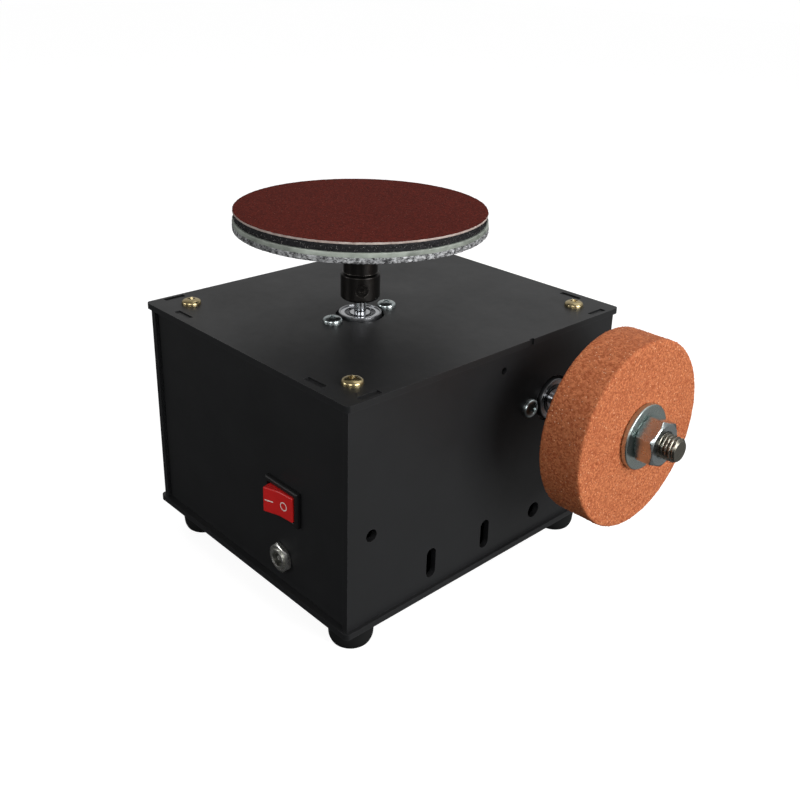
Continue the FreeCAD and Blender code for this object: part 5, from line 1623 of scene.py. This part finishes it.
# %% [markdown]
# ## Studio
# A plain pale floor and soft light.  A black object is lit by what it reflects, so the lights are
# large: one above and behind, one to the right for the wheel side, and a weak one near the camera.
# The floor is seen as pale, but it doesn't throw its light back up, which keeps the switch side
# as dark as black paint looks against white.

# %% Floor
FLOOR_SIZE = 8.0
FLOOR_GLOW = 0.88
floor_material, tree, shader = start_material("floor_pale")
floor_tone = group(tree, patches, Scale=3.0, Contrast=0.6)
feed(tree, mixed(tree, floor_tone, rgb(160, 160, 160), rgb(166, 166, 166)), shader.inputs["Base Color"])
shader.inputs["Emission Color"].default_value = rgb(255, 255, 255)
shader.inputs["Emission Strength"].default_value = FLOOR_GLOW
shader.inputs["Roughness"].default_value = 0.9
shader.inputs["Specular IOR Level"].default_value = 0.1
floor_bm = bmesh.new()
bmesh.ops.create_grid(floor_bm, x_segments=8, y_segments=8, size=FLOOR_SIZE / 2)
floor_mesh = bpy.data.meshes.new("studio_floor")
floor_bm.to_mesh(floor_mesh)
floor_bm.free()
floor_mesh.materials.append(floor_material)
floor = bpy.data.objects.new("studio_floor", floor_mesh)
bpy.context.scene.collection.objects.link(floor)
floor.visible_diffuse = False
floor.visible_glossy = False
floor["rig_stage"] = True
print("floor", FLOOR_SIZE, "m")

# %% [markdown]
# The world is white where it is looked at, so that the background is clean.  For reflections and
# fill it is a soft gradient: dark below, grey above, and brightest behind the object, because the
# top plate is seen at a low angle and mirrors whatever stands behind it.  The washer and the wheel
# side mirror what lies low on the right, so that side has a glow of its own.

# %% World
world = bpy.data.worlds.new("studio")
bpy.context.scene.world = world
world.use_nodes = True
tree = world.node_tree
background = [node for node in tree.nodes if node.type == "BACKGROUND"][0]
background.inputs["Color"].default_value = (1, 1, 1, 1)
BELOW = 0.04
ABOVE = 0.13
BEHIND = 0.45
BEHIND_DIRECTION = (-0.55, 0.8, 0.25)
LOW_RIGHT = 0.24
LOW_RIGHT_DIRECTION = (0.67, 0.64, -0.37)
ray = add(tree, "ShaderNodeTexCoord").outputs["Generated"]
height = add(tree, "ShaderNodeSeparateXYZ", Vector=ray).outputs["Z"]
rise = ranged(tree, height, -0.15, 0.25)
behind = ranged(tree, vectors(tree, "DOT_PRODUCT", ray, BEHIND_DIRECTION), 0.2, 1.0)
sky = calc(tree, "ADD", ABOVE, calc(tree, "MULTIPLY", behind, BEHIND))
low_right = ranged(tree, vectors(tree, "DOT_PRODUCT", ray, LOW_RIGHT_DIRECTION), 0.6, 1.0, 0.0, LOW_RIGHT)
gradient = calc(tree, "ADD", calc(tree, "ADD", calc(tree, "MULTIPLY", rise, sky), low_right), BELOW)
looking = add(tree, "ShaderNodeLightPath").outputs["Is Camera Ray"]
feed(tree, ranged(tree, looking, 0.0, 1.0, gradient, 1.0), background.inputs["Strength"])
print("fill from", BELOW, "below to", BELOW + ABOVE + BEHIND, "behind")

# %% [markdown]
# The lamps are large squares.  The one above is weak, because the disc would throw a hard shadow on
# the plate; the one on the right lights the wheel; two weak ones in front open up the dark side.

# %% Lamps
def lamp(name, place, target, across, energy):
    """A square lamp of that width, aimed at target."""
    data = bpy.data.lights.new(name, "AREA")
    data.shape = "SQUARE"
    data.size = across
    data.energy = energy
    holder = bpy.data.objects.new(name, data)
    holder.location = place
    holder.rotation_euler = (Vector(target) - Vector(place)).to_track_quat("-Z", "Y").to_euler()
    bpy.context.scene.collection.objects.link(holder)
    return holder


CENTRE = (0, 0, 0.08)
lamp("overhead", (0.22, 0.45, 0.93), CENTRE, 0.9, 2.0)
lamp("right_side", (0.98, 0.1, 0.42), CENTRE, 0.6, 9.0)
lamp("near_camera", (0.4, -0.75, 0.45), CENTRE, 0.35, 2.0)
lamp("front_left", (-0.5, -0.85, 0.3), CENTRE, 0.25, 1.6)
bpy.context.scene.view_settings.view_transform = "Standard"

# %% [markdown]
# ## The dressed object's box
# The box of the dressed object is measured against the model's box, and what stands outside it is printed.
# The box of the dressed object has to stay inside the model's box.

# %% Sizes and finish
visual_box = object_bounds()
over = [max(0.0, cad_box[0][i] - visual_box[0][i], visual_box[1][i] - cad_box[1][i]) / MM for i in range(3)]
print("outside the model's box by", [round(v, 3) for v in over], "mm")
